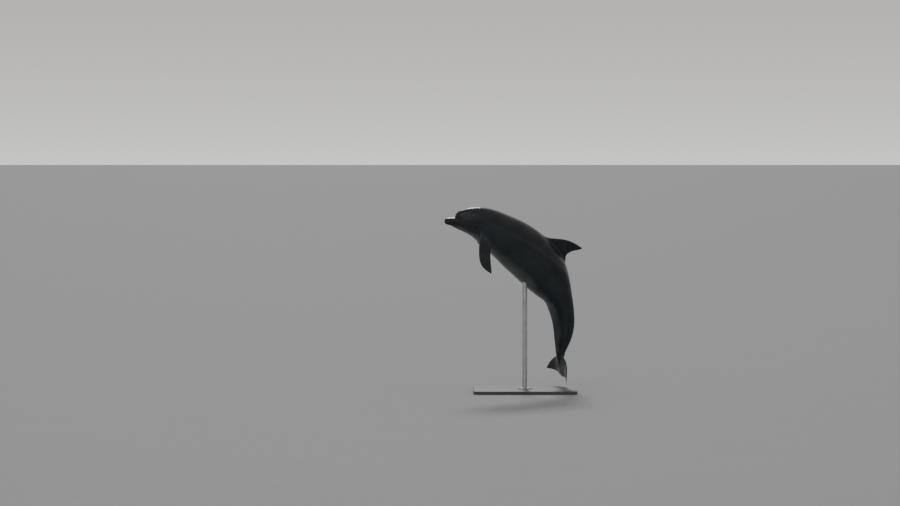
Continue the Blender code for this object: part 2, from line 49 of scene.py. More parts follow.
for startup in ("Cube", "Light", "Camera"):
    if startup in bpy.data.objects:
        bpy.data.objects.remove(bpy.data.objects[startup])
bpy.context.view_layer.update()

bl_info = {
    "name": "Leaping bottlenose dolphin",
    "version": (1, 0, 0),
    "blender": (4, 5, 0),
    "location": "3D View > Sidebar > Dolphin",
    "description": "Skin, eyes, stand finishes and stage of a life-size leaping dolphin model",
    "category": "Object",
}

# ---------------------------------------------------------------- the animal's own measures

LENGTH = 3.0  # beak tip to fluke notch, along the spine
ROLL = math.radians(17.0)
YAW = math.radians(12.0)
BEAK_TIP = (-1.015, -0.360, 2.160)
RIGHT = np.array([0.0, 1.0, 0.0])

# The spine's slope below the horizontal, in degrees, then its bends: start, end and degrees of each.
HEADING_AT_TIP = -1.5
BENDS = (
    (0.04, 0.26, 32.5),
    (0.22, 0.50, 15.0),
    (0.46, 0.68, 21.5),
    (0.64, 0.90, 29.5),
    (0.88, 1.00, -14.0),
)
SPINE_SPAN = (-0.02, 1.02)
SPINE_POINTS = 521

# along, height above the spine, depth below it and half width, as shares of LENGTH
TRUNK_STATIONS = (
    (0.040, 0.0350, 0.0262, 0.0140),
    (0.050, 0.0405, 0.0300, 0.0190),
    (0.075, 0.0485, 0.0402, 0.0297),
    (0.100, 0.0575, 0.0495, 0.0390),
    (0.130, 0.0656, 0.0614, 0.0467),
    (0.165, 0.0718, 0.0735, 0.0550),
    (0.200, 0.0757, 0.0824, 0.0627),
    (0.250, 0.0826, 0.0917, 0.0713),
    (0.310, 0.0924, 0.1024, 0.0787),
    (0.370, 0.0990, 0.1090, 0.0820),
    (0.430, 0.1003, 0.1088, 0.0820),
    (0.490, 0.0985, 0.1058, 0.0783),
    (0.550, 0.0894, 0.0978, 0.0697),
    (0.600, 0.0738, 0.0842, 0.0597),
    (0.650, 0.0613, 0.0628, 0.0477),
    (0.700, 0.0527, 0.0574, 0.0363),
    (0.750, 0.0473, 0.0528, 0.0280),
    (0.800, 0.0436, 0.0470, 0.0223),
    (0.850, 0.0356, 0.0388, 0.0180),
    (0.900, 0.0226, 0.0248, 0.0150),
    (0.930, 0.0158, 0.0164, 0.0132),
    (0.955, 0.0090, 0.0095, 0.0100),
    (0.975, 0.0034, 0.0036, 0.0060),
)
BEAK_STATIONS = (
    (0.000, 0.0136, 0.0098, 0.0115),
    (0.013, 0.0147, 0.0128, 0.0138),
    (0.028, 0.0159, 0.0180, 0.0156),
    (0.050, 0.0170, 0.0305, 0.0188),
    (0.075, 0.0200, 0.0406, 0.0232),
    (0.100, 0.0220, 0.0502, 0.0270),
    (0.130, 0.0240, 0.0606, 0.0300),
    (0.160, 0.0240, 0.0675, 0.0300),
)
TRUNK_POWER = 2.0  # power of the trunk's ovals, and by how much it drops on the keeled tail stock
KEEL_DROP = 0.25
KEEL_STARTS = (0.62, 0.82)

# The beak: its round tip, its ovals' power, and where it has sunk into the head.
BEAK_TIP_ROUND = 0.013
BEAK_TIP_POWER = 2.2
BEAK_POWER = 2.3
BEAK_ENDS = (0.11, 0.16)

# The melon, the forehead over the beak: its front, how far the cheeks stand behind it, its rounding.
MELON_FRONT = 0.0442
CHEEK_SET_BACK = 0.016
MELON_ROUND = 0.030
MELON_POWER = 3.4

# The crease between melon and beak: sharp on top, soft at the cheeks, whose limits are shares of
# the way from back to belly. It is sharper where the head is thinner than CREASE_THIN.
CREASE_TOP = 0.0055
CREASE_SIDE = 0.026
CREASE_THIN = 0.05
CREASE_ENDS = (0.12, 0.17)
CHEEK_STARTS = (0.0, 0.4)
CHEEK_STOPS = (0.55, 0.85)

# Mouth line: along, and height over the spine as a share of LENGTH.
MOUTH = (
    (-0.010, 0.0000),
    (0.000, 0.0000),
    (0.030, -0.0008),
    (0.060, -0.0055),
    (0.085, -0.0105),
    (0.100, -0.0118),
    (0.109, -0.0098),
)
MOUTH_END = MOUTH[-1][0]
MOUTH_FADES = (MOUTH_END - 0.004, MOUTH_END + 0.002)
LIP_GROOVE = 0.0036  # depth of the line between the lips
LIP_WIDTH = 0.0017
LIPS = ((0.0013, 0.0065), (0.0010, -0.0065))  # height of each lip's bead, and its place over the line
LIP_BEAD = 0.0045
LIPS_START = (0.0, 0.004)  # along, over which the beads set in at the tip
LIP_SHADE_WIDTH = 0.0030  # half width of the dark paint between the lips, painted shade in their groove

# Swellings and hollows: height, angle from the back and its width, along and its width.
SWELLINGS = (
    (-0.0022, 1.80, 0.060, MOUTH_END, 0.0035),  # dimple at the corner of the mouth
    (0.0040, 1.35, 0.450, 0.700, 0.0900),  # muscle on each side of the tail stock
    (0.0030, 1.75, 0.400, 0.235, 0.0450),  # shoulder over the flipper
    (-0.0030, 1.15, 0.350, 0.175, 0.0350),  # nape
    (-0.0040, math.pi, 0.040, 0.455, 0.0050),  # umbilicus
)

# A soft fold under the eye: depth, then its angle from the back, slant and width.
EYE_FOLD = 0.0016
EYE_FOLD_AROUND = 1.92
EYE_FOLD_SLANT = 3.0
EYE_FOLD_WIDTH = 0.055
EYE_FOLD_STARTS = (0.108, 0.118)
EYE_FOLD_ENDS = (0.135, 0.155)

# Folds across the throat: along and depth of each, then how far their ends slant, and their width.
THROAT_FOLDS = ((0.168, 0.0011), (0.181, 0.0008))
THROAT_SLANT = 0.010
THROAT_WIDTH = 0.0030
THROAT_SIDES = (1.9, 2.8)

# Genital slit on the belly's middle line.
SLIT_DEPTH = 0.0050
SLIT_WIDTH = 0.030
SLIT_STARTS = (0.606, 0.616)
SLIT_ENDS = (0.632, 0.642)

EYE_ALONG = 0.131
EYE_AROUND = math.radians(93.5)
EYE_SIZE = (0.0190, 0.0120, 0.0150)  # half length, half depth, half height
EYE_SUNK = 0.0055
EYE_CLEARANCE = 0.0005  # between the eyeball and its socket
EYE_PATCH = (0.0345, 0.0265)  # half length and half height of the hole for the lids
PATCH_WIDTH = 0.035  # half width of the dark patch round the eye
LIDS_OUTSIDE = (0.0330, 0.0250)
EYE_OPENING = (0.0163, 0.0092, 0.0078)  # half length, height above and below
EYE_SLANT = 0.0012
EYE_CORNERS = 0.25  # power that draws the opening's ends to points
# The lids, by the share of the way out from the opening: where they rise to the eyeball's height and
# leave the body's curve, and their folds: height, more on the upper lid, place and width.
LID_RISE = (0.0, 0.62)
LID_FLATTENS = (0.0, 0.8)
LID_FOLDS = ((-0.0009, -0.0008, 0.30, 0.075), (0.0010, 0.0, 0.14, 0.090), (0.0012, 0.0, 0.52, 0.160))
LID_EDGE = ((0.985, 0.962, 0.950), (0.92, 0.60, 0.20))  # shares of the opening and of the lid's height
LID_TURN = 0.8  # how fast the lower lid gives way to the upper one at the corners
LID_SHADE = 0.10  # share over which the dark line along the rim, painted shade where the lids meet the eyeball, fades
LID_RINGS, SOCKET_RINGS = 14, 9
LID_CROWDING = 1.25  # how much the lids' rings crowd towards the rim
SOCKET_END = 0.985  # share of the half turn at which the socket's last ring lies
BALL_RINGS, BALL_COLUMNS = 40, 64

BLOWHOLE_ALONG = 0.134
BLOWHOLE_BOW = 0.004  # how far the middle of its rings lies in front of it
BLOWHOLE_RADIUS = 0.018
BLOWHOLE_PATCH = 0.046
BLOWHOLE_HORNS = (0.92, 1.42)  # angle from the middle of the slit over which it ends
BLOWHOLE_WIDTH = 0.0016
BLOWHOLE_SHADE = 0.0022  # half width of the dark paint in the slit, painted shade in its recess
BLOWHOLE_PLUG = (0.0008, 0.009)  # height and width of the swelling in front of the slit
BLOWHOLE_LIPS = ((0.0016, 0.0046, 0.0030), (0.0012, -0.0048, 0.0032))  # height, place outside it, width
# Millimetres from the middle of the blowhole to each of its rings.
BLOWHOLE_RINGS = (41, 36.5, 32.5, 29, 26.2, 24, 22.4, 21.2, 20.3, 19.6, 19, 18.4, 17.8, 17.2, 16.5)
BLOWHOLE_RINGS += (15.6, 14.4, 12.8, 10.6, 8, 5.2, 2.6)

# Fins, in shares of their own length. q is the height over the root. FIN_HOLLOW holds the factors of
# q and q^2, FLIPPER_LEAD, FLIPPER_TRAIL and FLIPPER_THICKNESS those of 1, q and q^2.
FIN_ALONG = 0.470
FIN_FRONT, FIN_REAR = -0.200, 0.200
FIN_SWEEP = 0.304
FIN_HOOK, FIN_HOOK_POWER = 0.156, 7
FIN_HOLLOW = (-0.130, 0.228)
FIN_FOOT, FIN_FOOT_HEIGHT = 0.050, 0.10  # how far the rear edge runs out at the foot
FIN_TIP_POWER = 14
FIN_HEIGHT = 0.265
FIN_SUNK = 0.020
FIN_THICKNESS = 0.125
FIN_THINS = 0.25
FIN_FOOT_THICKER, FIN_FOOT_TOP = 0.05, 0.25

FLIPPER_ALONG = 0.194
FLIPPER_AROUND = math.radians(125.0)
FLIPPER_LENGTH = 0.448
FLIPPER_POSES = ((1, 23.0, 56.0), (-1, 45.0, 46.0))  # side, 1 for left, then sweep and droop in degrees
FLIPPER_LEAD = (0.102, 0.112, -0.080)
FLIPPER_SLANT, FLIPPER_SLANT_POWER = 0.122, 6
FLIPPER_TRAIL = (0.070, -0.148, 0.100)
FLIPPER_TIP_POWER = 12
FLIPPER_BOW = 0.012
FLIPPER_THICKNESS = (0.1650, -0.0525)

# How each fin is grafted: how far its fillet spreads over the skin and rises up the fin, each beside,
# in front and behind, then the tone of its paint and the number of its rings.
# The dorsal fin's tone lies between cape and flank, so it is painted paler than the back: painted light that
# the fin catches.
FIN_GRAFT = {"spread": (0.026, 0.075, 0.034), "rise": (0.028, 0.040, 0.036), "tone": 0.45, "rings": 44}
FLIPPER_GRAFT = {"spread": (0.020, 0.022, 0.032), "rise": (0.026, 0.032, 0.036), "tone": 0.60, "rings": 50}
FILLET_ENDS = (0.12, 0.10)  # shares of the chord over which the fillet is that of the front and rear
FIN_TONE_STARTS = (-0.005, 0.085)  # height over the skin at which the fin's own tone sets in
BRIDGE_RINGS = 3
FILLET_RINGS = 8
FILLET_REACH = 1.15
EASED_RINGS, EASE_ROUNDS = 4, 16
FIN_END, FIN_CROWDING = 0.9996, 1.45  # the last ring's height, and how much the rings crowd towards it
ROOT_SEARCH = (-0.22, 0.45, 260)  # shares of a fin's length between which its root is looked for, and steps

FLUKE_ALONG = 0.912
FLUKE_START = 0.905  # the body's last ring, from which the rings widen into the flukes
FLUKE_CHORD = 0.312
FLUKE_LEAD = ((0.60, 1), (0.18, 3), (0.18, 8))  # its leading edge: shares of the chord with their powers
FLUKE_TIP_POWER = 10
FLUKE_HALF_SPAN = 0.342
FLUKE_NOTCH, FLUKE_NOTCH_WIDTH = 0.026, 0.05
FLUKE_HOLLOW = 0.014
FLUKE_CURL = 0.058
FLUKE_ARCH = 0.022
FLUKE_THICKNESS = 0.155
FLUKE_THINS = 0.45
FLUKE_SOFT = 0.016  # rounding where stock and lobe meet
FLUKE_PLANE_AT = 0.955
FLUKE_RINGS = 60
FLUKE_CROWDING = 1.55  # how much they crowd towards the trailing edge
FLUKE_THIN = 0.006
FLUKE_TONE = (0.22, 0.55, 3.0)  # middle, swing and sharpness of the tone from under to upper side
FLUKE_STEPS = (4001, 3001)  # across and along, between which widths are looked up
EDGE_ROUND = 0.012  # share of the chord over which the trailing edge closes
# Metres behind FLUKE_ALONG over which the tail stock narrows and sinks, and its rounded join ends.
STOCK_NARROWS = (0.19, 0.25)
STOCK_SINKS = (0.17, 0.26)
SOFT_ENDS = (0.10, 0.20)
# Metres behind FLUKE_START over which the join, the lobes, their plane and their tone set in, and
# over which the stock's own width gives way.
SOFT_IN, LOBE_IN, STOCK_OUT, PLANE_IN, TONE_IN = 0.03, 0.05, 0.02, 0.11, 0.12
TAIL_TWIST = math.radians(8.0)
TAIL_SWING = math.radians(2.0)

EDGE_HALF = 0.0012  # half thickness of a fin's trailing edge
EDGE_CHORD = 0.02  # chord under which that edge thins out
COLUMNS = 160  # points round a body ring
TIP_STARTS = math.radians(2.0)  # angle of the first ring on the beak's round tip
TIP_RINGS, HEAD_RINGS, TRUNK_RINGS = 24, 141, 225
HEAD_END = 0.164
LIP_PULL, LIP_PULL_WIDTH = 0.78, 0.50  # how much a ring's points are drawn to the mouth line, and how near
LIP_PULL_ENDS = (0.104, 0.149)
EVEN_STARTS = 0.83  # where steps across the width begin to take the place of even angles
MIDDLE_CLOSER = 0.20  # how much closer those steps are in the middle
FIN_LOOP, PATCH_LOOP = 96, 64  # points of the first loop, which tells how large a graft's hole is
TONE, SHADE_LINE, PATCH = 3, 4, 5  # the marks that hold the tone, the dark line of painted shade in creases and the dark patch

# The solids that the one skin replaces.
FLESH = ("head", "lower_jaw", "neck", "chest", "trunk", "loin", "tail_front", "tail_stock")
FLESH += ("dorsal_fin", "flipper_left", "flipper_right", "fluke_left", "fluke_right")

# ---------------------------------------------------------------- paint and stage

# Limits of the colours in the tone, 1 on the back and -1 on the belly, and metres from the beak over
# which the belly turns half as pale.
TONE_WANDER = 0.55
CAPE_EDGE = (0.10, 0.72)
BELLY_EDGE = (-0.58, -0.92)
BELLY_PALES = (1.85, 2.40, 1.0, 0.5)
# Near black painted shade in the mouth's groove, the lids' rim, the eye socket and the blowhole's slit.
CREASE_SHADE_COLOUR = (0.004, 0.004, 0.005)
SCAR_PALER = 2.2
PUPIL_WIDE = 1.9  # its width over its height
PUPIL_EDGE = (0.13, 0.20)  # square of the place over the eye at which pupil turns to iris
PUPIL_COLOUR = (0.001, 0.001, 0.001)
WHITE_EDGE = (0.62, 0.80)  # distance from the eye's middle at which iris turns to the dark white
WHITE_COLOUR = (0.012, 0.009, 0.008)
STEEL_MARK = (0.75, 0.75, 0.76)  # colour of the scratches on the steel, and then on the plate
PLATE_MARK = (0.30, 0.30, 0.30)
PLATE_RUBBED = (0.22, 0.22, 0.215)
RUB_STARTS, RUB_ENDS = (0.0325, 0.0345), (0.0375, 0.0400)  # heights between which its edge is rubbed
SKIN_ROUGHNESS, STEEL_ROUGHNESS, PLATE_ROUGHNESS, FLOOR_ROUGHNESS = 0.26, 0.24, 0.46, 0.72

BACKDROP_FADE = 0.040  # sine of the height at which the backdrop's brightness has fallen most of the way
FLOOR_RADII, FLOOR_HEIGHT = (1.0, 9000.0), -0.0004
FLOOR_RINGS, FLOOR_COLUMNS = 28, 64
CAMERA_PLACE, CAMERA_TIPS_DOWN = (-0.944, -37.81, 2.880), 1.70

# Name, place, width in degrees, strength and colour of each light.
LAMPS = (
    ("back_light", (-0.3, 6.0, 4.8), 12.0, 1.1, (1.0, 0.98, 0.95)),
    ("front_light", (-3.5, -8.0, 4.5), 60.0, 0.30, (0.96, 0.98, 1.0)),
    ("catch_light", (-3.0, -6.0, 5.0), 9.0, 0.12, (1.0, 1.0, 1.0)),
)


# ---------------------------------------------------------------- curves and rings


def grow(x, start, end):
    """Nought at the start to one at the end with level ends: 3t^2 - 2t^3."""
    t = np.clip((x - start) / (end - start), 0.0, 1.0)
    return t * t * (3.0 - 2.0 * t)


def fade(x, start, end):
    """One at the start to nought at the end, with level ends."""
    return 1.0 - grow(x, start, end)


def bell(x, width):
    """A bump of height one: e to the minus (x / width) squared."""
    return np.exp(-((x / width) ** 2))


def unit(v):
    """The vectors at length one."""
    return v / np.linalg.norm(v, axis=-1, keepdims=True)


def soft_larger(a, b, soft):
    """The larger of two, rounded where they are alike: half of a + b + root of (a - b)^2 + soft^2."""
    return (a + b + np.sqrt((a - b) ** 2 + soft**2)) / 2


def cubic(t, start, leave, end, arrive):
    """The cubic from start to end that sets off along `leave` and comes in along `arrive`."""
    first = (1 + 2 * t) * (1 - t) ** 2 * start + t * (1 - t) ** 2 * leave
    return first + t * t * (3 - 2 * t) * end + t * t * (t - 1) * arrive


def powers(x, factors, first=0):
    """Sum of the factors times x to the power of first, first + 1 and so on."""
    return sum(factor * x ** (first + k) for k, factor in enumerate(factors))


def through(x, stations, column):
    """Smooth curve through a column of the stations: cubic pieces whose slopes follow the neighbours."""
    table = np.asarray(stations, float)
    xs, ys = table[:, 0], table[:, column]
    width = np.diff(xs)
    slope = np.diff(ys) / width
    lean = np.empty_like(ys)
    lean[1:-1] = (slope[:-1] * width[1:] + slope[1:] * width[:-1]) / (width[1:] + width[:-1])
    lean[0], lean[-1] = slope[0], slope[-1]
    k = np.clip(np.searchsorted(xs, x, side="right") - 1, 0, len(xs) - 2)
    step = xs[k + 1] - xs[k]
    t = np.clip((x - xs[k]) / step, 0.0, 1.0)
    return cubic(t, ys[k], step * lean[k], ys[k + 1], step * lean[k + 1])


def oval_at(along, stations):
    """Height above the spine, depth below it and half width of the ring there, in metres."""
    return [through(along, stations, column) * LENGTH for column in (1, 2, 3)]


def heading(along):
    """Slope of the spine below the horizontal: the slope at the tip plus each bend's smooth step."""
    angle = np.full_like(along, HEADING_AT_TIP)
    for start, end, bend in BENDS:
        angle = angle + bend * grow(along, start, end)
    return np.radians(angle)


def spine_table():
    """The spine's points: its direction summed up in small steps from the beak's tip."""
    fine = np.linspace(*SPINE_SPAN, SPINE_POINTS)
    slope = heading(fine)
    step = (fine[1] - fine[0]) * LENGTH

    def summed(direction):
        total = np.concatenate([[0.0], np.cumsum(direction[1:] + direction[:-1]) / 2]) * step
        return total - np.interp(0.0, fine, total)

    return fine, summed(np.cos(slope)), -summed(np.sin(slope))


SPINE = spine_table()


def spine(along):
    """Points of the spine with its backward and upward directions there, for an array of any shape."""
    along = np.asarray(along, float)
    fine, x, z = SPINE
    angle = heading(along)
    flat = np.zeros_like(along)
    point = np.stack([np.interp(along, fine, x), flat, np.interp(along, fine, z)], -1)
    back = np.stack([np.cos(angle), flat, -np.sin(angle)], -1)
    up = np.stack([np.sin(angle), flat, np.cos(angle)], -1)
    return point, back, up


def oval(around, above, below, half_width, power):
    """Rim of an oval with its own height above and below: |cos/height|^p + |sin/width|^p = radius^-p."""
    reach = np.where(np.cos(around) >= 0, above, below)
    flat = np.abs(np.cos(around) / reach) ** power + np.abs(np.sin(around) / half_width) ** power
    return flat ** (-1.0 / power)


def rounded(t, power):
    """A round end: the power-th root of 1 - t^power, one at t = 0 and nought at t = 1."""
    return np.clip(1 - t**power, 0.0, 1.0) ** (1 / power)


def keel_power(along):
    """The power of the trunk's ovals: 2 in front, less on the keeled tail stock."""
    return TRUNK_POWER - KEEL_DROP * grow(along, *KEEL_STARTS)


def ring_radius(a, b):
    """Radius of the body at (along, around): the larger of cranium and beak, with a soft join."""
    melon_front = MELON_FRONT + CHEEK_SET_BACK * np.sin(b) ** 2
    melon = rounded(np.clip((melon_front + MELON_ROUND - a) / MELON_ROUND, 0.0, 1.0), MELON_POWER)
    trunk = oval(b, *oval_at(a, TRUNK_STATIONS), keel_power(a)) * melon
    tip = rounded(np.clip(1 - a / BEAK_TIP_ROUND, 0.0, 1.0), BEAK_TIP_POWER)
    beak = oval(b, *oval_at(a, BEAK_STATIONS), BEAK_POWER) * tip * fade(a, *BEAK_ENDS)
    side = (1 - np.cos(b)) / 2
    cheek = grow(side, *CHEEK_STARTS) * fade(side, *CHEEK_STOPS)
    soft = (CREASE_TOP + (CREASE_SIDE - CREASE_TOP) * cheek) * fade(a, *CREASE_ENDS)
    return soft_larger(trunk, beak, soft * np.minimum(trunk / CREASE_THIN, 1))


def bare(along, around):
    """Point of the body before its details: spine + up * radius * cos + left * radius * sin."""
    along, around = np.broadcast_arrays(np.asarray(along, float), np.asarray(around, float))
    point, _, up = spine(along)
    radius = ring_radius(along, around)
    out = point + up * (radius * np.cos(around))[..., None]
    out[..., 1] -= radius * np.sin(around)
    return out


def outward(along, around):
    """Outward direction of the bare body: around's tangent crossed with along's."""
    step = 2e-4
    lengthwise = bare(along + step, around) - bare(along - step, around)
    crosswise = bare(along, around + 10 * step) - bare(along, around - 10 * step)
    return unit(np.cross(crosswise, lengthwise))


def place_of(points):
    """Along, around and height over the skin of points near the body: the ring plane through each."""
    along = np.interp(points[..., 0], SPINE[1], SPINE[0])
    for _ in range(40):
        centre, back, up = spine(along)
        along = along + 0.7 * ((points - centre) * back).sum(-1) / LENGTH
    away = points - centre
    high, left = (away * up).sum(-1), -away[..., 1]
    around = np.arctan2(left, high)
    return along, around, np.hypot(high, left) - ring_radius(along, around)


def straightened(along, around, radius):
    """A place on the body as if its spine were straight, which the paint is laid out on."""
    return np.stack([along * LENGTH, radius * np.sin(around), radius * np.cos(around)], -1)


# ---------------------------------------------------------------- mouth, folds and swellings


def mouth_height(along):
    """Height of the mouth line over the spine."""
    return through(np.clip(along, MOUTH[0][0], MOUTH_END), MOUTH, 1) * LENGTH


def mouth_around(along):
    """The angle at which the mouth line crosses each ring, found by repeated substitution."""
    angle = np.full_like(along, math.pi / 2)
    for _ in range(12):
        radius = np.maximum(ring_radius(along, angle), 1e-4)
        angle = np.arccos(np.clip(mouth_height(along) / radius, -0.6, 0.6))
    return angle


def over_mouth(along, around):
    """Height of a place over the mouth line, and how much of the mouth is left there."""
    height = ring_radius(along, around) * np.cos(around) - mouth_height(along)
    return height, fade(along, *MOUTH_FADES)


def from_back(around):
    """Angle from the middle of the back, the same on both sides: nought to pi."""
    return np.abs((around + math.pi) % (2 * math.pi) - math.pi)


def relief(along, around):
    """How far the skin's details stand over the bare body: a sum of bells, each faded at its ends."""
    height, mouth = over_mouth(along, around)
    side = from_back(around)
    lips = sum(bead * bell(height - place, LIP_BEAD) for bead, place in LIPS)
    out = mouth * (lips * grow(along, *LIPS_START) - LIP_GROOVE * bell(height, LIP_WIDTH))
    for swell, beside, width, at, length in SWELLINGS:
        out = out + swell * bell(side - beside, width) * bell(along - at, length)
    slant = EYE_FOLD_SLANT * (along - EYE_FOLD_STARTS[1])
    fold = bell(side - EYE_FOLD_AROUND - slant, EYE_FOLD_WIDTH) * grow(along, *EYE_FOLD_STARTS)
    out = out - EYE_FOLD * fold * fade(along, *EYE_FOLD_ENDS)
    under = grow(side, *THROAT_SIDES)
    for at, depth in THROAT_FOLDS:
        out = out - depth * under * bell(along - at - THROAT_SLANT * (1 - under), THROAT_WIDTH)
    slit = bell(math.pi - side, SLIT_WIDTH) * grow(along, *SLIT_STARTS) * fade(along, *SLIT_ENDS)
    return out - SLIT_DEPTH * slit


def body(along, around):
    """Point of the finished skin: the bare body moved outwards by the relief."""
    along, around = np.broadcast_arrays(np.asarray(along, float), np.asarray(around, float))
    base = bare(along, around)
    return base + outward(along, around) * relief(along, around)[..., None]


# ---------------------------------------------------------------- the body's grid and its grafts


def evenly_round(count):
    """Even angles round a whole turn."""
    return 2 * math.pi * np.arange(count) / count


def bands(rings):
    """Four-sided faces between neighbouring closed rings of point numbers."""
    nxt = np.roll(rings, -1, axis=1)
    return np.stack([rings[:-1], nxt[:-1], nxt[1:], rings[1:]], -1)


def fan(ring, centre):
    """Triangles between a closed ring of point numbers and one point."""
    return np.stack([ring, np.roll(ring, -1), np.full_like(ring, centre)], -1)


def marks_of(rest, tone, line=0.0, patch=0.0):
    """Marks of each point: straightened place (3), tone from belly -1 to back 1, line of painted shade in
    creases, patch.
    """
    tone = np.asarray(tone, float)
    wide = [np.broadcast_to(np.asarray(mark, float), tone.shape) for mark in (line, patch)]
    return np.concatenate([rest, np.stack([tone, *wide], -1)], -1)


def body_marks(along, around):
    """Marks of the body: tone is the cosine of around, line (painted shade in the mouth's groove) and patch
    are bells at mouth and eye.
    """
    along, around = np.broadcast_arrays(along, around)
    radius = ring_radius(along, around)
    height, mouth = over_mouth(along, around)
    from_eye = np.hypot((along - EYE_ALONG) * LENGTH, (from_back(around) - EYE_AROUND) * radius)
    line, patch = mouth * bell(height, LIP_SHADE_WIDTH), bell(from_eye, PATCH_WIDTH)
    return marks_of(straightened(along, around, radius), np.cos(around), line, patch)


def along_rows():
    """Rings of the body: close at the beak's round tip, a few millimetres on the head, then wider."""
    turn = np.linspace(TIP_STARTS, math.pi / 2, TIP_RINGS)
    tip = BEAK_TIP_ROUND * (1 - np.cos(turn) ** (2 / BEAK_TIP_POWER))
    head = np.linspace(BEAK_TIP_ROUND, HEAD_END, HEAD_RINGS + 1)[1:]
    trunk = np.linspace(HEAD_END, FLUKE_START, TRUNK_RINGS + 1)[1:]
    return np.concatenate([tip, head, trunk])


def across(turn):
    """Even steps with the middle a little closer: the angle less a share of sin(2 * angle)."""
    return turn - MIDDLE_CLOSER * np.sin(2 * turn)


def around_columns(rows):
    """Angles of a ring's points, drawn towards the mouth line on the head and towards the keels aft."""
    turn = evenly_round(COLUMNS)[None, :]
    a = rows[:, None]
    lip = mouth_around(rows)[:, None]
    side = np.minimum(turn, 2 * math.pi - turn)
    pull = LIP_PULL * fade(a, *LIP_PULL_ENDS) * bell(side - lip, LIP_PULL_WIDTH)
    drawn = side - pull * (side - lip)
    angle = np.where(turn <= math.pi, drawn, 2 * math.pi - drawn)
    # Aft, even steps across the width instead of even angles.
    even = across(turn)
    above, below, wide = oval_at(a, TRUNK_STATIONS)
    tall = np.where(np.cos(even) >= 0, above, below) * np.sign(np.cos(even))
    rise = tall * rounded(np.abs(np.sin(even)), keel_power(a))
    aft = np.arctan2(wide * np.sin(even), rise) % (2 * math.pi)
    # Rounding near the back can take an angle past a whole turn or under nought.
    aft = np.where((turn > 6.0) & (aft < 0.5), aft + 2 * math.pi, aft)
    aft = np.where(turn == 0, 0.0, aft)
    mix = grow(a, EVEN_STARTS, FLUKE_START)
    return (1 - mix) * angle + mix * aft


def wing_half(share):
    """Half thickness of the usual wing section, chord and thickness one: a root less powers of the share."""
    share = np.clip(share, 0.0, 1.0)
    root = 0.2969 * np.sqrt(share) - 0.1260 * share
    return 5 * (root - 0.3516 * share**2 + 0.2843 * share**3 - 0.1036 * share**4)


def fluke_edges(span):
    """Leading and trailing edge at shares of a lobe's half span, metres aft of FLUKE_ALONG.

    The trailing edge is a straight line less a bell for the notch and half a sine wave. The leading
    edge is a sum of powers, drawn to the trailing edge by the root of 1 - span^power at the tip.
    """
    trail = FLUKE_CHORD - FLUKE_NOTCH * bell(span, FLUKE_NOTCH_WIDTH) - FLUKE_HOLLOW * np.sin(math.pi * span)
    lead = FLUKE_CHORD * sum(share * span**power for share, power in FLUKE_LEAD)
    return trail - (trail - lead) * tip_round(span, FLUKE_TIP_POWER), trail


def in_fluke_plane(x, y, z, start):
    """Points x aft, y right and z up in the flukes' plane, which is twisted and swung against the body.

    Up to `start` they follow the spine, and over the next stretch they turn into the plane.
    """
    _, straight, up = spine(FLUKE_PLANE_AT)
    right = RIGHT * math.cos(TAIL_TWIST) - up * math.sin(TAIL_TWIST)
    face = up * math.cos(TAIL_TWIST) + RIGHT * math.sin(TAIL_TWIST)
    swing_cos, swing_sin = math.cos(TAIL_SWING), math.sin(TAIL_SWING)
    right, straight = right * swing_cos + straight * swing_sin, straight * swing_cos - right * swing_sin
    mix = grow(x, start, start + PLANE_IN)[..., None]
    centre, _, rise = spine(FLUKE_ALONG + x / LENGTH)
    centre = centre * (1 - mix) + (spine(FLUKE_ALONG)[0] + straight * x[..., None]) * mix
    right = unit(RIGHT * (1 - mix) + right * mix)
    face = unit(rise * (1 - mix) + face * mix)
    return centre + right * y[..., None] + face * z[..., None]


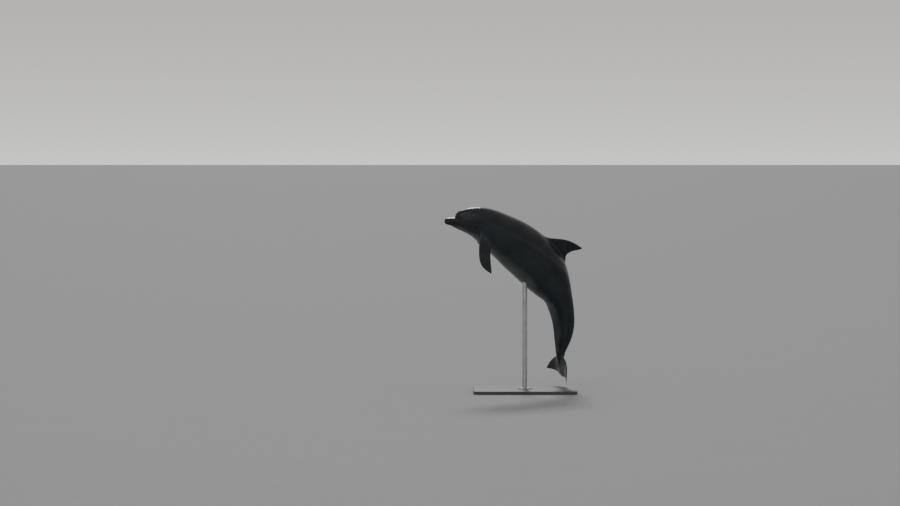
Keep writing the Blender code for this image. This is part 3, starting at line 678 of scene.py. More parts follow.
def fluke_rings():
    """Rings from the tail stock out over both lobes to the trailing edge.

    A ring's outer ends run along the leading edge, its middle along the tail's own line. Its half
    height is the larger of the stock's oval and the lobe's wing section, softly joined.
    """
    span = np.linspace(0, 1, FLUKE_STEPS[0])
    lead, trail = fluke_edges(span)
    start, end = (FLUKE_START - FLUKE_ALONG) * LENGTH, trail[-1]
    fine = np.linspace(start, end, FLUKE_STEPS[1])
    stock = oval_at(FLUKE_ALONG + fine / LENGTH, TRUNK_STATIONS)[2] * fade(fine, *STOCK_NARROWS)
    lobe = np.where(fine < 0, fine / (FLUKE_LEAD[0][0] * FLUKE_CHORD), np.interp(fine, lead, span))
    soft = FLUKE_SOFT * grow(fine, start, start + SOFT_IN) * fade(fine, *SOFT_ENDS)
    reach = soft_larger(stock, lobe * FLUKE_HALF_SPAN, soft)

    # Places of the points, seen from above: x aft and y out to the side.
    tau = np.linspace(0, 1, FLUKE_RINGS + 1)[1:, None]
    x_end = start + (end - start) * (1 - (1 - tau) ** FLUKE_CROWDING)
    turn = across(evenly_round(COLUMNS))[None, :]
    out = np.abs(np.sin(turn))
    y = np.interp(x_end, fine, reach) * out
    bow = np.interp(out, span, trail) - end
    x = x_end + bow * ((x_end - start) / (end - start)) ** 2
    a = FLUKE_ALONG + x / LENGTH

    # Half height of the lobe: a wing section on the chord at y.
    q = y / FLUKE_HALF_SPAN
    inside = reach[0] - y
    x_lead = np.where(inside > 0, start - 0.5 * inside, np.interp(y, reach, fine))
    x_trail = np.interp(q, span, trail)
    share = np.clip((x - x_lead) / np.maximum(x_trail - x_lead, 1e-5), 0, 1)
    chord = np.interp(q, span, trail - lead)
    blade = FLUKE_THICKNESS * (1 - FLUKE_THINS * q) * chord * wing_half(share) + EDGE_HALF * share
    blade = blade * grow(x, start, start + LOBE_IN) * np.sqrt(np.clip((1 - share) / EDGE_ROUND, 0, 1))

    # Half height of the stock, and of both together.
    top = np.cos(turn) >= 0
    above, below, _ = oval_at(a, TRUNK_STATIONS)
    tall = np.where(top, above, below) * fade(x, *STOCK_SINKS)
    wide = np.maximum(np.interp(x, fine, stock), 1e-4)
    wide = np.maximum(wide, np.interp(x_end, fine, reach) * fade(x, start, start + STOCK_OUT))
    ridge = tall * rounded(np.clip(y / wide, 0, 1), keel_power(a))
    half = soft_larger(ridge, blade, FLUKE_SOFT * blade / (blade + FLUKE_THIN))
    half[-1] = 0.0
    arch = (FLUKE_ARCH * np.sin(math.pi * q) - FLUKE_CURL * q * q) * grow(x, start, start + LOBE_IN)
    z = np.where(top, half, -half) + arch
    y = -y * np.sign(np.sin(turn))

    painted = grow(x, start, start + TONE_IN)
    middle, swing, sharp = FLUKE_TONE
    tone = middle + swing * np.tanh(sharp * np.cos(turn))
    tone = np.cos(turn) * (1 - painted) + tone * painted
    return in_fluke_plane(x, y, z, start), marks_of(np.stack([a * LENGTH, y, z], -1), tone)


def hole_loop(top, low, first, last):
    """Row and column numbers round a rectangular hole, from the middle of its front side."""
    cross, down = np.arange(first, last), np.arange(top, low)
    rows = [np.full(last - first, top), down, np.full(last - first, low), down[::-1] + 1]
    columns = [cross, np.full(low - top, last), cross[::-1] + 1, np.full(low - top, first)]
    to_middle = first - (first + last) // 2
    return np.roll(np.concatenate(rows), to_middle), np.roll(np.concatenate(columns), to_middle)


class Skin:
    """The one skin: the body's grid, and the fins, eyes and blowhole grafted into holes of it.

    It gathers the points, the marks that the paint reads, and the faces.
    """

    def __init__(self):
        self.points, self.marks, self.grafts = [], [], []
        self.count = 0
        self.rows = along_rows()
        self.around = around_columns(self.rows)
        along = np.broadcast_to(self.rows[:, None], self.around.shape)
        points, marks = body(along, self.around), body_marks(along, self.around)
        fluke_points, fluke_marks = fluke_rings()
        points = np.concatenate([points, fluke_points])
        self.at = self.add(points, np.concatenate([marks, fluke_marks]))
        self.kept = np.ones((len(self.at) - 1, COLUMNS), bool)
        # Beak: one point, in the line between the lips and painted dark as painted shade, closes the first
        # ring.
        # Tail: upper and lower trailing edge are one line.
        lips = np.array([[LIP_GROOVE, 0.0, 0.0]])
        nose = self.add(lips, marks_of(np.zeros((1, 3)), np.zeros(1), 1.0))
        self.grafts.append(fan(self.at[0], nose[0]))
        mirror = (COLUMNS // 2 - np.arange(COLUMNS)) % COLUMNS
        self.at[-1] = np.minimum(self.at[-1], self.at[-1][mirror])
        for tip in (COLUMNS // 4, 3 * COLUMNS // 4):
            self.close_fluke(tip)

    def add(self, points, marks):
        """Adds an array of points with their marks, and gives back their numbers in the same shape."""
        shape = points.shape[:-1]
        self.points.append(points.reshape(-1, 3))
        self.marks.append(np.broadcast_to(marks, shape + marks.shape[-1:]).reshape(-1, marks.shape[-1]))
        first = self.count
        self.count += len(self.points[-1])
        return np.arange(first, self.count).reshape(shape)

    def join(self, rings, middle, middle_marks):
        """Faces between the rings of point numbers, the last of them closed by a point in its middle."""
        pole = self.add(middle[None], middle_marks[None])
        self.grafts += [bands(rings).reshape(-1, 4), fan(rings[-1], pole[0])]

    def close_fluke(self, tip):
        """Cuts a lobe's last two quads towards its tip: cut the other way, both cuts would be one edge."""
        self.kept[-1, [tip - 1, tip]] = False
        (inner, middle, outer), (inner_end, end, outer_end) = self.at[-2:, tip - 1 : tip + 2]
        cuts = [[inner, middle, end], [inner, end, inner_end], [middle, outer, end], [end, outer, outer_end]]
        self.grafts.append(np.array(cuts))

    def turn_at(self, row, column):
        """Angle of a grid point; columns past either end of the ring go on by whole turns."""
        return self.around[row, column % COLUMNS] + 2 * math.pi * (column // COLUMNS)

    def hole(self, along, around, rows=0, before=0, after=0):
        """Opens the smallest hole round the loop, wider by rows at both ends and by columns at each side.

        It gives the point numbers, along and around of the hole's rim.
        """
        top = np.searchsorted(self.rows, along.min()) - 1 - rows
        low = np.searchsorted(self.rows, along.max()) + rows
        columns = np.arange(-COLUMNS // 2, COLUMNS + COLUMNS // 2)
        angles = self.turn_at((top + low) // 2, columns)
        first = columns[np.searchsorted(angles, around.min()) - 1] - before
        last = columns[np.searchsorted(angles, around.max())] + after
        last += (last - first) % 2
        block = (slice(top, low), np.arange(first, last) % COLUMNS)
        if not self.kept[block].all():
            raise ValueError("two holes of the body's grid overlap")
        self.kept[block] = False
        row, column = hole_loop(top, low, first, last)
        return self.at[row, column % COLUMNS], self.rows[row], self.turn_at(row, column)

    def bridge(self, numbers, along, around, loop_along, loop_around, rings):
        """Rings on the body from the hole's rim to the loop, evenly between the two."""
        share = (np.arange(1, rings + 1) / rings)[:, None]
        a = along + (loop_along - along) * share
        b = around + (loop_around - around) * share
        return np.concatenate([numbers[None], self.add(body(a, b), body_marks(a, b))])

    def faces(self):
        """All faces: the grid's but for its holes, then the grafts'."""
        return [bands(self.at)[self.kept], *self.grafts]


# ---------------------------------------------------------------- fins


def tip_round(q, power):
    """Share of the chord that is left towards a fin's round tip: the square root of 1 - q^power."""
    return np.sqrt(np.maximum(0.0, 1 - np.maximum(q, 0.0) ** power))


def dorsal_section(q):
    """Front, rear and thickness share of the dorsal fin at height q of its own height.

    The front is a line and a high power of q, the hook. The rear is a parabola and a bell at the foot.
    """
    front = FIN_FRONT + FIN_SWEEP * q + FIN_HOOK * np.maximum(q, 0.0) ** FIN_HOOK_POWER
    rear = FIN_REAR + powers(q, FIN_HOLLOW, 1) + FIN_FOOT * bell(q, FIN_FOOT_HEIGHT)
    rear = front + (rear - front) * tip_round(q, FIN_TIP_POWER)
    foot = FIN_FOOT_THICKER * np.maximum(0.0, FIN_FOOT_TOP - q)
    return front, rear, FIN_THICKNESS * (1.0 - FIN_THINS * q) + foot


def flipper_section(q):
    """Front, rear and thickness share of a flipper at q of its length: parabolas, rounded at the tip."""
    lead = powers(q, FLIPPER_LEAD) - FLIPPER_SLANT * np.maximum(q, 0.0) ** FLIPPER_SLANT_POWER
    left = tip_round(q, FLIPPER_TIP_POWER)
    return -lead * left, powers(q, FLIPPER_TRAIL) * left, powers(q, FLIPPER_THICKNESS)


class Wing:
    """A fin: wing sections of changing chord along an arm. point(q, share, flank) is a place on it."""

    def __init__(self, section, origin, arm, bow, chordwise, face):
        self.section, self.origin, self.arm = section, origin, arm
        self.bow, self.chordwise, self.face = bow, chordwise, face

    def point(self, q, share, flank):
        """Place at q of the arm and at a share of the chord, on the side `flank`, 1 or -1.

        It is origin + arm * q + bow * q * (1 - q), then along the chord and out by the half thickness.
        """
        front, rear, thickness = self.section(q)
        chord = rear - front
        half = thickness * chord * wing_half(share) + EDGE_HALF * share * grow(chord, 0.0, EDGE_CHORD)
        middle = self.origin + self.arm * q[..., None] + self.bow * (q * (1 - q))[..., None]
        along_chord = self.chordwise * (front + chord * share)[..., None]
        return middle + along_chord + self.face * (half * flank)[..., None]


def spread_loop(along, around, radius, distance):
    """The loop moved outwards over the skin by a distance: along its own smoothed normals."""
    x, y = along * LENGTH, around * radius
    tangent = np.stack([np.roll(x, -1) - np.roll(x, 1), np.roll(y, -1) - np.roll(y, 1)], -1)
    normal = unit(np.stack([tangent[:, 1], -tangent[:, 0]], -1))
    centre = np.array([x.mean(), y.mean()])
    if ((np.stack([x, y], -1) - centre) * normal).sum() < 0:
        normal = -normal
    for _ in range(8):
        normal = (np.roll(normal, 1, 0) + 2 * normal + np.roll(normal, -1, 0)) / 4
    normal = unit(normal)
    return along + normal[:, 0] * distance / LENGTH, around + normal[:, 1] * distance / radius


def fillet_at(share, side, front, rear):
    """A width that is `side` along the fin and runs over to `front` and `rear` at its two ends."""
    at_front, at_rear = bell(share, FILLET_ENDS[0]), bell(1 - share, FILLET_ENDS[1])
    return side + (front - side) * at_front + (rear - side) * at_rear


def fin_root(wing, spread, rise, columns):
    """Where each of the fin's lines leaves the body, and the two ends of its fillet.

    Each line is followed outwards: it meets the skin where its height over the skin is nought, and
    the fillet reaches it where that height is `rise`. The fillet's lower end lies `spread` outside.
    """
    turn = evenly_round(columns)
    share = (1 - np.cos(turn)) / 2
    a0, b0, _ = place_of(wing.point(np.zeros(1), np.full(1, 0.5), np.zeros(1)))
    growing = (bare(a0, b0 + 0.01) - bare(a0, b0))[0]
    flank = np.sign(np.round(np.sin(turn), 9)) * np.sign(growing @ wing.face)
    inner, outer, steps = ROOT_SEARCH
    q = np.broadcast_to(np.linspace(inner, outer, steps)[:, None], (steps, columns))
    along, around, height = place_of(wing.point(q, share[None, :], flank[None, :]))
    at = np.arange(columns)

    def level(target):
        k = np.clip(np.argmax(height > target, axis=0), 1, steps - 1)
        low, high = height[k - 1, at], height[k, at]
        t = np.clip((target - low) / (high - low), 0, 1)
        return [g[k - 1, at] * (1 - t) + g[k, at] * t for g in (q, along, around)]

    _, a_skin, b_skin = level(0.0)
    q_fin = level(fillet_at(share, *rise))[0]
    radius = ring_radius(a_skin, b_skin).mean()
    a_out, b_out = spread_loop(a_skin, b_skin, radius, fillet_at(share, *spread))
    return share, flank, (a_skin, b_skin), q_fin, (a_out, b_out)


def eased(rings, rounds):
    """The rings with each point drawn towards the middle of its four neighbours, less so near both ends."""
    hold = 0.5 * np.sin(np.linspace(0, math.pi, len(rings)))[1:-1, None, None]
    for _ in range(rounds):
        beside = np.roll(rings, 1, axis=1) + np.roll(rings, -1, axis=1)
        middle = (rings[:-2] + rings[2:] + beside[1:-1]) / 4
        inner = rings[1:-1] + hold * (middle - rings[1:-1])
        rings = np.concatenate([rings[:1], inner, rings[-1:]])
    return rings


def graft_fin(skin, wing, margin, spread, rise, tone, rings):
    """Grows a fin out of the body: rings on the skin, a rounded fillet, then the fin's sections.

    The fillet's lines are cubics that leave along the skin and arrive along the fin. The fin's own
    rings crowd towards its tip, and those next to the fillet are eased together with it.
    """
    loop = fin_root(wing, spread, rise, FIN_LOOP)[4]
    numbers, along, around = skin.hole(*loop, *margin)
    share, flank, foot, q_fin, (a_out, b_out) = fin_root(wing, spread, rise, len(numbers))
    ring = skin.bridge(numbers, along, around, a_out, b_out, BRIDGE_RINGS)
    low = body(a_out, b_out)
    leave = unit(body(a_out + (foot[0] - a_out) * 0.1, b_out + (foot[1] - b_out) * 0.1) - low)
    high = wing.point(q_fin, share, flank)
    arrive = unit(wing.point(q_fin + 0.01, share, flank) - high)
    reach = np.linalg.norm(high - low, axis=-1, keepdims=True) * FILLET_REACH
    s = (np.arange(1, FILLET_RINGS) / FILLET_RINGS)[:, None, None]
    fillet = cubic(s, low, reach * leave, high, reach * arrive)
    t = np.linspace(0, 1, rings)[:, None]
    q = q_fin + (FIN_END - q_fin) * (1 - (1 - t) ** FIN_CROWDING)
    blade = wing.point(q, np.broadcast_to(share, q.shape), np.broadcast_to(flank, q.shape))
    first_rings = eased(np.concatenate([low[None], fillet, blade[:EASED_RINGS]]), EASE_ROUNDS)
    points = np.concatenate([first_rings[1:], blade[EASED_RINGS:]])
    a, b, height = place_of(points)
    grown = grow(height, *FIN_TONE_STARTS)
    rest = straightened(a, b, ring_radius(a, b) + height)
    marks = marks_of(rest, np.cos(b) * (1 - grown) + tone * grown)
    ring = np.concatenate([ring, skin.add(points, marks)])
    skin.join(ring, points[-1].mean(0), marks[-1].mean(0))


def dorsal_wing():
    """The dorsal fin stands in the body's middle plane, on a chord a little under the back."""
    point, back, up = spine(FIN_ALONG)
    crown = oval_at(np.array([FIN_ALONG]), TRUNK_STATIONS)[0][0] - FIN_SUNK
    return Wing(dorsal_section, point + up * crown, up * FIN_HEIGHT, np.zeros(3), back, RIGHT)


def flipper_wing(side, sweep, droop):
    """A flipper: its arm points out, down by the droop and back by the sweep. Side is 1 left, -1 right."""
    sweep, droop = math.radians(sweep), math.radians(droop)
    root = bare(FLIPPER_ALONG, side * FLIPPER_AROUND)
    _, back, up = spine(FLIPPER_ALONG)
    out = RIGHT * -side * math.cos(droop) - up * math.sin(droop)
    arm = out * math.cos(sweep) + back * math.sin(sweep)
    chordwise = back * math.cos(sweep) - out * math.sin(sweep)
    face = np.cross(arm, chordwise)
    return Wing(flipper_section, root, arm * FLIPPER_LENGTH, out * FLIPPER_BOW, chordwise, face)


# ---------------------------------------------------------------- eyes and blowhole


def eye_frame(side):
    """Skin point of an eye with its backward, around and outward directions. Side is 1 left, -1 right."""
    along, around, step = EYE_ALONG, EYE_AROUND * side, 1e-4
    here = bare(along, around)
    back = unit(bare(along + step, around) - here)
    out = outward(np.array(along), np.array(around))
    return here, back, unit(np.cross(back, out)), out


def ball_height(s, t):
    """How far the eyeball's front stands over the skin's plane at (s, t)."""
    front = np.sqrt(np.clip(1 - (s / EYE_SIZE[0]) ** 2 - (t / EYE_SIZE[2]) ** 2, 0, 1))
    return EYE_SIZE[1] * front - EYE_SUNK


def graft_eye(skin, side, lid):
    """Lids round an almond opening, and the socket behind them.

    Rings narrow from an oval on the skin to the opening while they rise to the eyeball's height,
    roll over the lid's edge, and follow the eyeball round to its back. rho is the share of the way
    from the opening, nought, to the outer oval, one.
    """
    radius = float(ring_radius(np.array(EYE_ALONG), np.array(EYE_AROUND)))
    here, back, cross, out = eye_frame(side)

    def place(s, t):
        return EYE_ALONG + s / LENGTH, EYE_AROUND * side + t / radius

    def in_space(s, t, height):
        return here + back * s[..., None] + cross * t[..., None] + out * height[..., None]

    def oval_of(count, length, height):
        turn = evenly_round(count)
        return turn, -length * np.cos(turn), height * np.sin(turn)

    _, s, t = oval_of(PATCH_LOOP, *EYE_PATCH)
    numbers, along, around = skin.hole(*place(s, t))
    turn, s_out, t_out = oval_of(len(numbers), *LIDS_OUTSIDE)
    ring = [skin.bridge(numbers, along, around, *place(s_out, t_out), BRIDGE_RINGS)]

    # The lids: soft folds and a groove, then the rise to the rim.
    length, above, below = EYE_OPENING
    down = np.sin(turn) * side
    tall = np.where(down < 0, above, below)
    s_in = -length * np.cos(turn)
    t_in = tall * np.sin(turn) * np.abs(np.sin(turn)) ** EYE_CORNERS - side * EYE_SLANT * np.cos(turn)
    rho = (np.linspace(1, 0, LID_RINGS + 1)[1:] ** LID_CROWDING)[:, None]
    s, t = s_in + (s_out - s_in) * rho, t_in + (t_out - t_in) * rho
    lift = (ball_height(s_in, t_in) + lid) * fade(rho, *LID_RISE)
    upper = grow(0.5 - LID_TURN * down, 0.0, 1.0)
    for swell, swell_upper, at, width in LID_FOLDS:
        lift = lift + (swell + swell_upper * upper) * bell(rho - at, width)
    mix = fade(rho, *LID_FLATTENS)[..., None]
    points = body(*place(s, t)) * (1 - mix) + in_space(s, t, 0 * s) * mix + out * lift[..., None]
    marks = body_marks(*place(s, t))
    # Painted shade: a dark line along the lids' rim, where they fold in against the eyeball.
    marks[..., SHADE_LINE] = np.maximum(marks[..., SHADE_LINE], bell(rho, LID_SHADE))
    ring.append(skin.add(points, marks))

    # The lid's edge, then the socket: an ellipsoid a little larger than the eyeball.
    inward, over = (np.array(row)[:, None] for row in LID_EDGE)
    s, t = s_in * inward, t_in * inward
    edge = in_space(s, t, ball_height(s, t) + over * lid)
    size = np.array(EYE_SIZE) + EYE_CLEARANCE
    x, y = s[-1] / size[0], t[-1] / size[2]
    sine = np.hypot(x, y)
    start = np.arcsin(np.clip(sine, 0, 1))
    polar = start + (math.pi * SOCKET_END - start) * np.linspace(0, 1, SOCKET_RINGS + 1)[1:, None]
    s, t = size[0] * np.sin(polar) * x / sine, size[2] * np.sin(polar) * y / sine
    inner = np.concatenate([edge, in_space(s, t, size[1] * np.cos(polar) - EYE_SUNK)])
    inner_marks = np.broadcast_to(marks[-1], inner.shape[:-1] + marks.shape[-1:]).copy()
    # The socket is painted near black all over: painted shade in the recess behind the eyeball.
    inner_marks[..., SHADE_LINE] = 1.0
    ring.append(skin.add(inner, inner_marks))
    skin.join(np.concatenate(ring), here - out * (size[1] + EYE_SUNK), inner_marks[-1, 0])


def graft_blowhole(skin, depth):
    """A crescent slit across the crown, its horns forward, inside rings that centre on its bow."""
    centre = BLOWHOLE_ALONG - BLOWHOLE_BOW / LENGTH
    radius = float(ring_radius(np.array(centre), np.array(0.0)))

    def place(rho, turn):
        return centre - rho * np.cos(turn) / LENGTH, rho * np.sin(turn) / radius

    numbers, along, around = skin.hole(*place(BLOWHOLE_PATCH, evenly_round(PATCH_LOOP)))
    turn = evenly_round(len(numbers))
    ring = [skin.bridge(numbers, along, around, *place(BLOWHOLE_PATCH, turn), 2)]
    rho = np.array(BLOWHOLE_RINGS)[:, None] / 1000
    slit = fade(np.arccos(np.clip(-np.cos(turn), -1, 1)), *BLOWHOLE_HORNS)
    off = rho - BLOWHOLE_RADIUS
    lips = sum(swell * bell(off - at, width) for swell, at, width in BLOWHOLE_LIPS)
    plug, plug_width = BLOWHOLE_PLUG
    height = slit * (lips - depth * bell(off, BLOWHOLE_WIDTH)) + plug * bell(rho, plug_width)
    spot = place(rho, turn)
    points = body(*spot) + outward(*spot) * height[..., None]
    marks = body_marks(*spot)
    # Painted shade: the slit is painted dark down its middle.
    marks[..., SHADE_LINE] = slit * bell(off, BLOWHOLE_SHADE)
    ring.append(skin.add(points, marks))
    skin.join(np.concatenate(ring), body(np.array(centre), np.array(0.0)), marks[-1, 0])


# ---------------------------------------------------------------- meshes


def into_leap(points):
    """From the animal's own frame into the leap: roll about X, then yaw about Z, then the lift."""
    x, y, z = points[:, 0], points[:, 1], points[:, 2]
    y, z = y * math.cos(ROLL) - z * math.sin(ROLL), y * math.sin(ROLL) + z * math.cos(ROLL)
    x, y = x * math.cos(YAW) - y * math.sin(YAW), x * math.sin(YAW) + y * math.cos(YAW)
    return np.stack([x, y, z], -1) + np.array(BEAK_TIP)


def placed(name, data):
    """A new object in the scene, at the origin."""
    made = bpy.data.objects.new(name, data)
    bpy.context.scene.collection.objects.link(made)
    return made


def piece_of(name, points, faces, attributes):
    """A smooth mesh object at the origin from points, lists of equal-sided faces and point attributes."""
    used, index = np.unique(np.concatenate([f.ravel() for f in faces]), return_inverse=True)
    corners, start = [], 0
    for f in faces:
        corners += index[start : start + f.size].reshape(f.shape).tolist()
        start += f.size
    mesh = bpy.data.meshes.new(name)
    mesh.from_pydata(points[used].tolist(), [], corners)
    shape = bmesh.new()
    shape.from_mesh(mesh)
    bmesh.ops.recalc_face_normals(shape, faces=shape.faces)
    shape.to_mesh(mesh)
    shape.free()
    for label, values in attributes.items():
        values = np.ascontiguousarray(values[used], np.float32)
        kind, field = ("FLOAT_VECTOR", "vector") if values.ndim == 2 else ("FLOAT", "value")
        mesh.attributes.new(label, kind, "POINT").data.foreach_set(field, values.ravel())
    mesh.shade_smooth()
    mesh.update()
    return placed(name, mesh)


def skin_piece(lid, slit):
    """The whole skin: the body's grid with both kinds of fin, both eyes and the blowhole grafted in."""
    skin = Skin()
    graft_fin(skin, dorsal_wing(), (1, 3, 3), **FIN_GRAFT)
    for side, sweep, droop in FLIPPER_POSES:
        margin = (2, 2 - side, 2 + side)  # wider towards the belly, narrow towards the eye
        graft_fin(skin, flipper_wing(side, sweep, droop), margin, **FLIPPER_GRAFT)
    for side in (1, -1):
        graft_eye(skin, side, lid)
    graft_blowhole(skin, slit)
    points = np.concatenate(skin.points)
    marks = np.concatenate(skin.marks)
    # The line mark holds the painted shade of the creases.
    named = {"rest": marks[:, :TONE], "tone": marks[:, TONE], "line": marks[:, SHADE_LINE]}
    named["patch"] = marks[:, PATCH]
    return piece_of("dolphin_skin", into_leap(points), skin.faces(), named)


def eyeball(name, side):
    """An eyeball of the CAD's size: rings of latitude round its outward axis, closed at both poles.

    The attribute "gaze" holds the place over the front: backwards, around, and outwards, each from
    -1 to 1, which the iris and the pupil are drawn on.
    """
    here, back, cross, out = eye_frame(side)
    polar = np.linspace(0, math.pi, BALL_RINGS + 2)[1:-1, None]
    turn = evenly_round(BALL_COLUMNS)[None, :]
    gaze = [np.sin(polar) * np.cos(turn), np.sin(polar) * np.sin(turn), np.cos(polar) + 0 * turn]
    gaze = np.concatenate([np.stack(gaze, -1).reshape(-1, 3), [[0, 0, 1.0], [0, 0, -1.0]]])
    size = np.array([EYE_SIZE[0], EYE_SIZE[2], EYE_SIZE[1]])
    points = here - out * EYE_SUNK + (gaze * size) @ np.stack([back, cross, out])
    at = np.arange(BALL_RINGS * BALL_COLUMNS).reshape(BALL_RINGS, BALL_COLUMNS)
    poles = [fan(at[0], at.size), fan(at[-1], at.size + 1)]
    gaze[:, 1] *= side
    return piece_of(name, into_leap(points), [bands(at).reshape(-1, 4), *poles], {"gaze": gaze})


# ---------------------------------------------------------------- materials


class Paint:
    """The nodes of one material or group, in a painter's words. Each word gives back an output."""

    def __init__(self, tree):
        self.tree = tree

    def feed(self, socket, value):
        """Links another node's output to the socket, or holds a plain value there."""
        if isinstance(value, NodeSocket):
            self.tree.links.new(value, socket)
        else:
            socket.default_value = value

    def node(self, kind, inputs=(), **settings):
        """One shader node with its settings and inputs, as its list of outputs."""
        made = self.tree.nodes.new(kind)
        for name, value in settings.items():
            setattr(made, name, value)
        for key, value in dict(inputs).items():
            self.feed(made.inputs[key], value)
        return made.outputs

    def maths(self, operation, *values):
        """A step on numbers, such as the smaller of two."""
        return self.node("ShaderNodeMath", enumerate(values), operation=operation)[0]

    def times(self, first, second):
        return self.maths("MULTIPLY", first, second)

    def plus(self, first, *others):
        for other in others:
            first = self.maths("ADD", first, other)
        return first

    def less(self, first, second):
        return self.maths("SUBTRACT", first, second)

    def mix(self, share, first, second, blend="MIX"):
        """The first colour turned into the second by the share."""
        first, second = (c if isinstance(c, NodeSocket) else (*c, 1.0) for c in (first, second))
        inputs = {0: share, 6: first, 7: second}
        return self.node("ShaderNodeMix", inputs, data_type="RGBA", blend_type=blend)[2]

    def ramp(self, value, low, high, to_low=0.0, to_high=1.0):
        """A smooth step from to_low at low to to_high at high."""
        inputs = {0: value, 1: low, 2: high, 3: to_low, 4: to_high}
        return self.node("ShaderNodeMapRange", inputs, interpolation_type="SMOOTHSTEP")[0]

    def attribute(self, name, output="Fac"):
        return self.node("ShaderNodeAttribute", attribute_name=name)[output]

    def object_place(self):
        """The place in the object's own metres."""
        return self.node("ShaderNodeTexCoord")["Object"]

    def split(self, place):
        """The three numbers of a place."""
        return self.node("ShaderNodeSeparateXYZ", {0: place})

    def stretched(self, place, scale):
        """The place stretched for a pattern."""
        return self.node("ShaderNodeMapping", {"Vector": place, "Scale": scale})[0]

    def cloud(self, place, scale, detail=3.0, rough=0.5):
        """Soft noise from 0 to 1."""
        inputs = {"Vector": place, "Scale": scale, "Detail": detail, "Roughness": rough}
        return self.node("ShaderNodeTexNoise", inputs)[0]

    def group(self, name, **inputs):
        """A shared effect with this material's own values, as its list of outputs."""
        return self.node("ShaderNodeGroup", inputs, node_tree=shared_group(name))

    def bump(self, shader, height, distance, strength):
        """Relief of so many metres on the shader's normal."""
        inputs = {"Height": height, "Distance": distance, "Strength": strength}
        self.feed(shader["Normal"], self.node("ShaderNodeBump", inputs)[0])


def new_group(name, ins, outs):
    """An empty shader group: its paint, its inputs by name, and the sockets of its outputs."""
    group = bpy.data.node_groups.new(name, "ShaderNodeTree")
    for in_out, sockets in (("INPUT", ins), ("OUTPUT", outs)):
        for label, kind in sockets.items():
            group.interface.new_socket(label, in_out=in_out, socket_type=f"NodeSocket{kind}")
    given = group.nodes.new("NodeGroupInput").outputs
    return Paint(group), given, group.nodes.new("NodeGroupOutput").inputs


def unevenness_group():
    """Broad and fine unevenness of a surface: a slow cloud for its colour and a fine one for its sheen."""
    ins, outs = {"Place": "Vector", "Scale": "Float"}, {"Broad": "Float", "Fine": "Float"}
    paint, given, out = new_group("unevenness", ins, outs)
    broad = paint.cloud(given["Place"], given["Scale"], 4.0, 0.55)
    fine = paint.cloud(given["Place"], paint.times(given["Scale"], 14.0), 3.0, 0.6)
    paint.feed(out["Broad"], paint.ramp(broad, 0.30, 0.70))
    paint.feed(out["Fine"], paint.ramp(fine, 0.30, 0.70))
    return paint.tree


def scratches_group():
    """Fine parallel scratches in patches: thin bands of stretched noise, let through by a slow cloud."""
    ins = {"Place": "Vector", "Scale": "Float", "Turn": "Vector", "Amount": "Float"}
    paint, given, out = new_group("scratches", ins, {"Scratch": "Float"})
    place, scale = given["Place"], given["Scale"]
    inputs = {"Vector": place, "Rotation": given["Turn"]}
    turned = paint.node("ShaderNodeVectorRotate", inputs, rotation_type="EULER_XYZ")[0]
    thin = paint.stretched(turned, (0.07, 1.0, 1.0))
    lines = paint.cloud(thin, paint.times(scale, 10.0), 2.0, 0.4)
    from_line = paint.maths("ABSOLUTE", paint.less(lines, 0.5))
    fine = paint.ramp(from_line, 0.0, 0.012, 1.0, 0.0)
    patches = paint.cloud(place, paint.times(scale, 0.55), 2.0)
    level = paint.less(0.80, paint.times(given["Amount"], 0.35))
    inside = paint.ramp(patches, level, paint.plus(level, 0.08))
    paint.feed(out["Scratch"], paint.times(fine, inside))
    return paint.tree


def shared_group(name):
    """The group of that name, made when it is first asked for."""
    makers = {"unevenness": unevenness_group, "scratches": scratches_group}
    return bpy.data.node_groups.get(name) or makers[name]()


def material_of(name, **constants):
    """A new material, its paint and its shader's inputs, with the plain values set on the shader."""
    made = bpy.data.materials.new(name)
    made.use_nodes = True
    shader = made.node_tree.nodes["Principled BSDF"].inputs
    for key, value in constants.items():
        shader[key.replace("_", " ")].default_value = value
    return made, Paint(made.node_tree), shader


def brighter(colour, factor):
    """The colour with each part times the factor."""
    return [factor * part for part in colour]


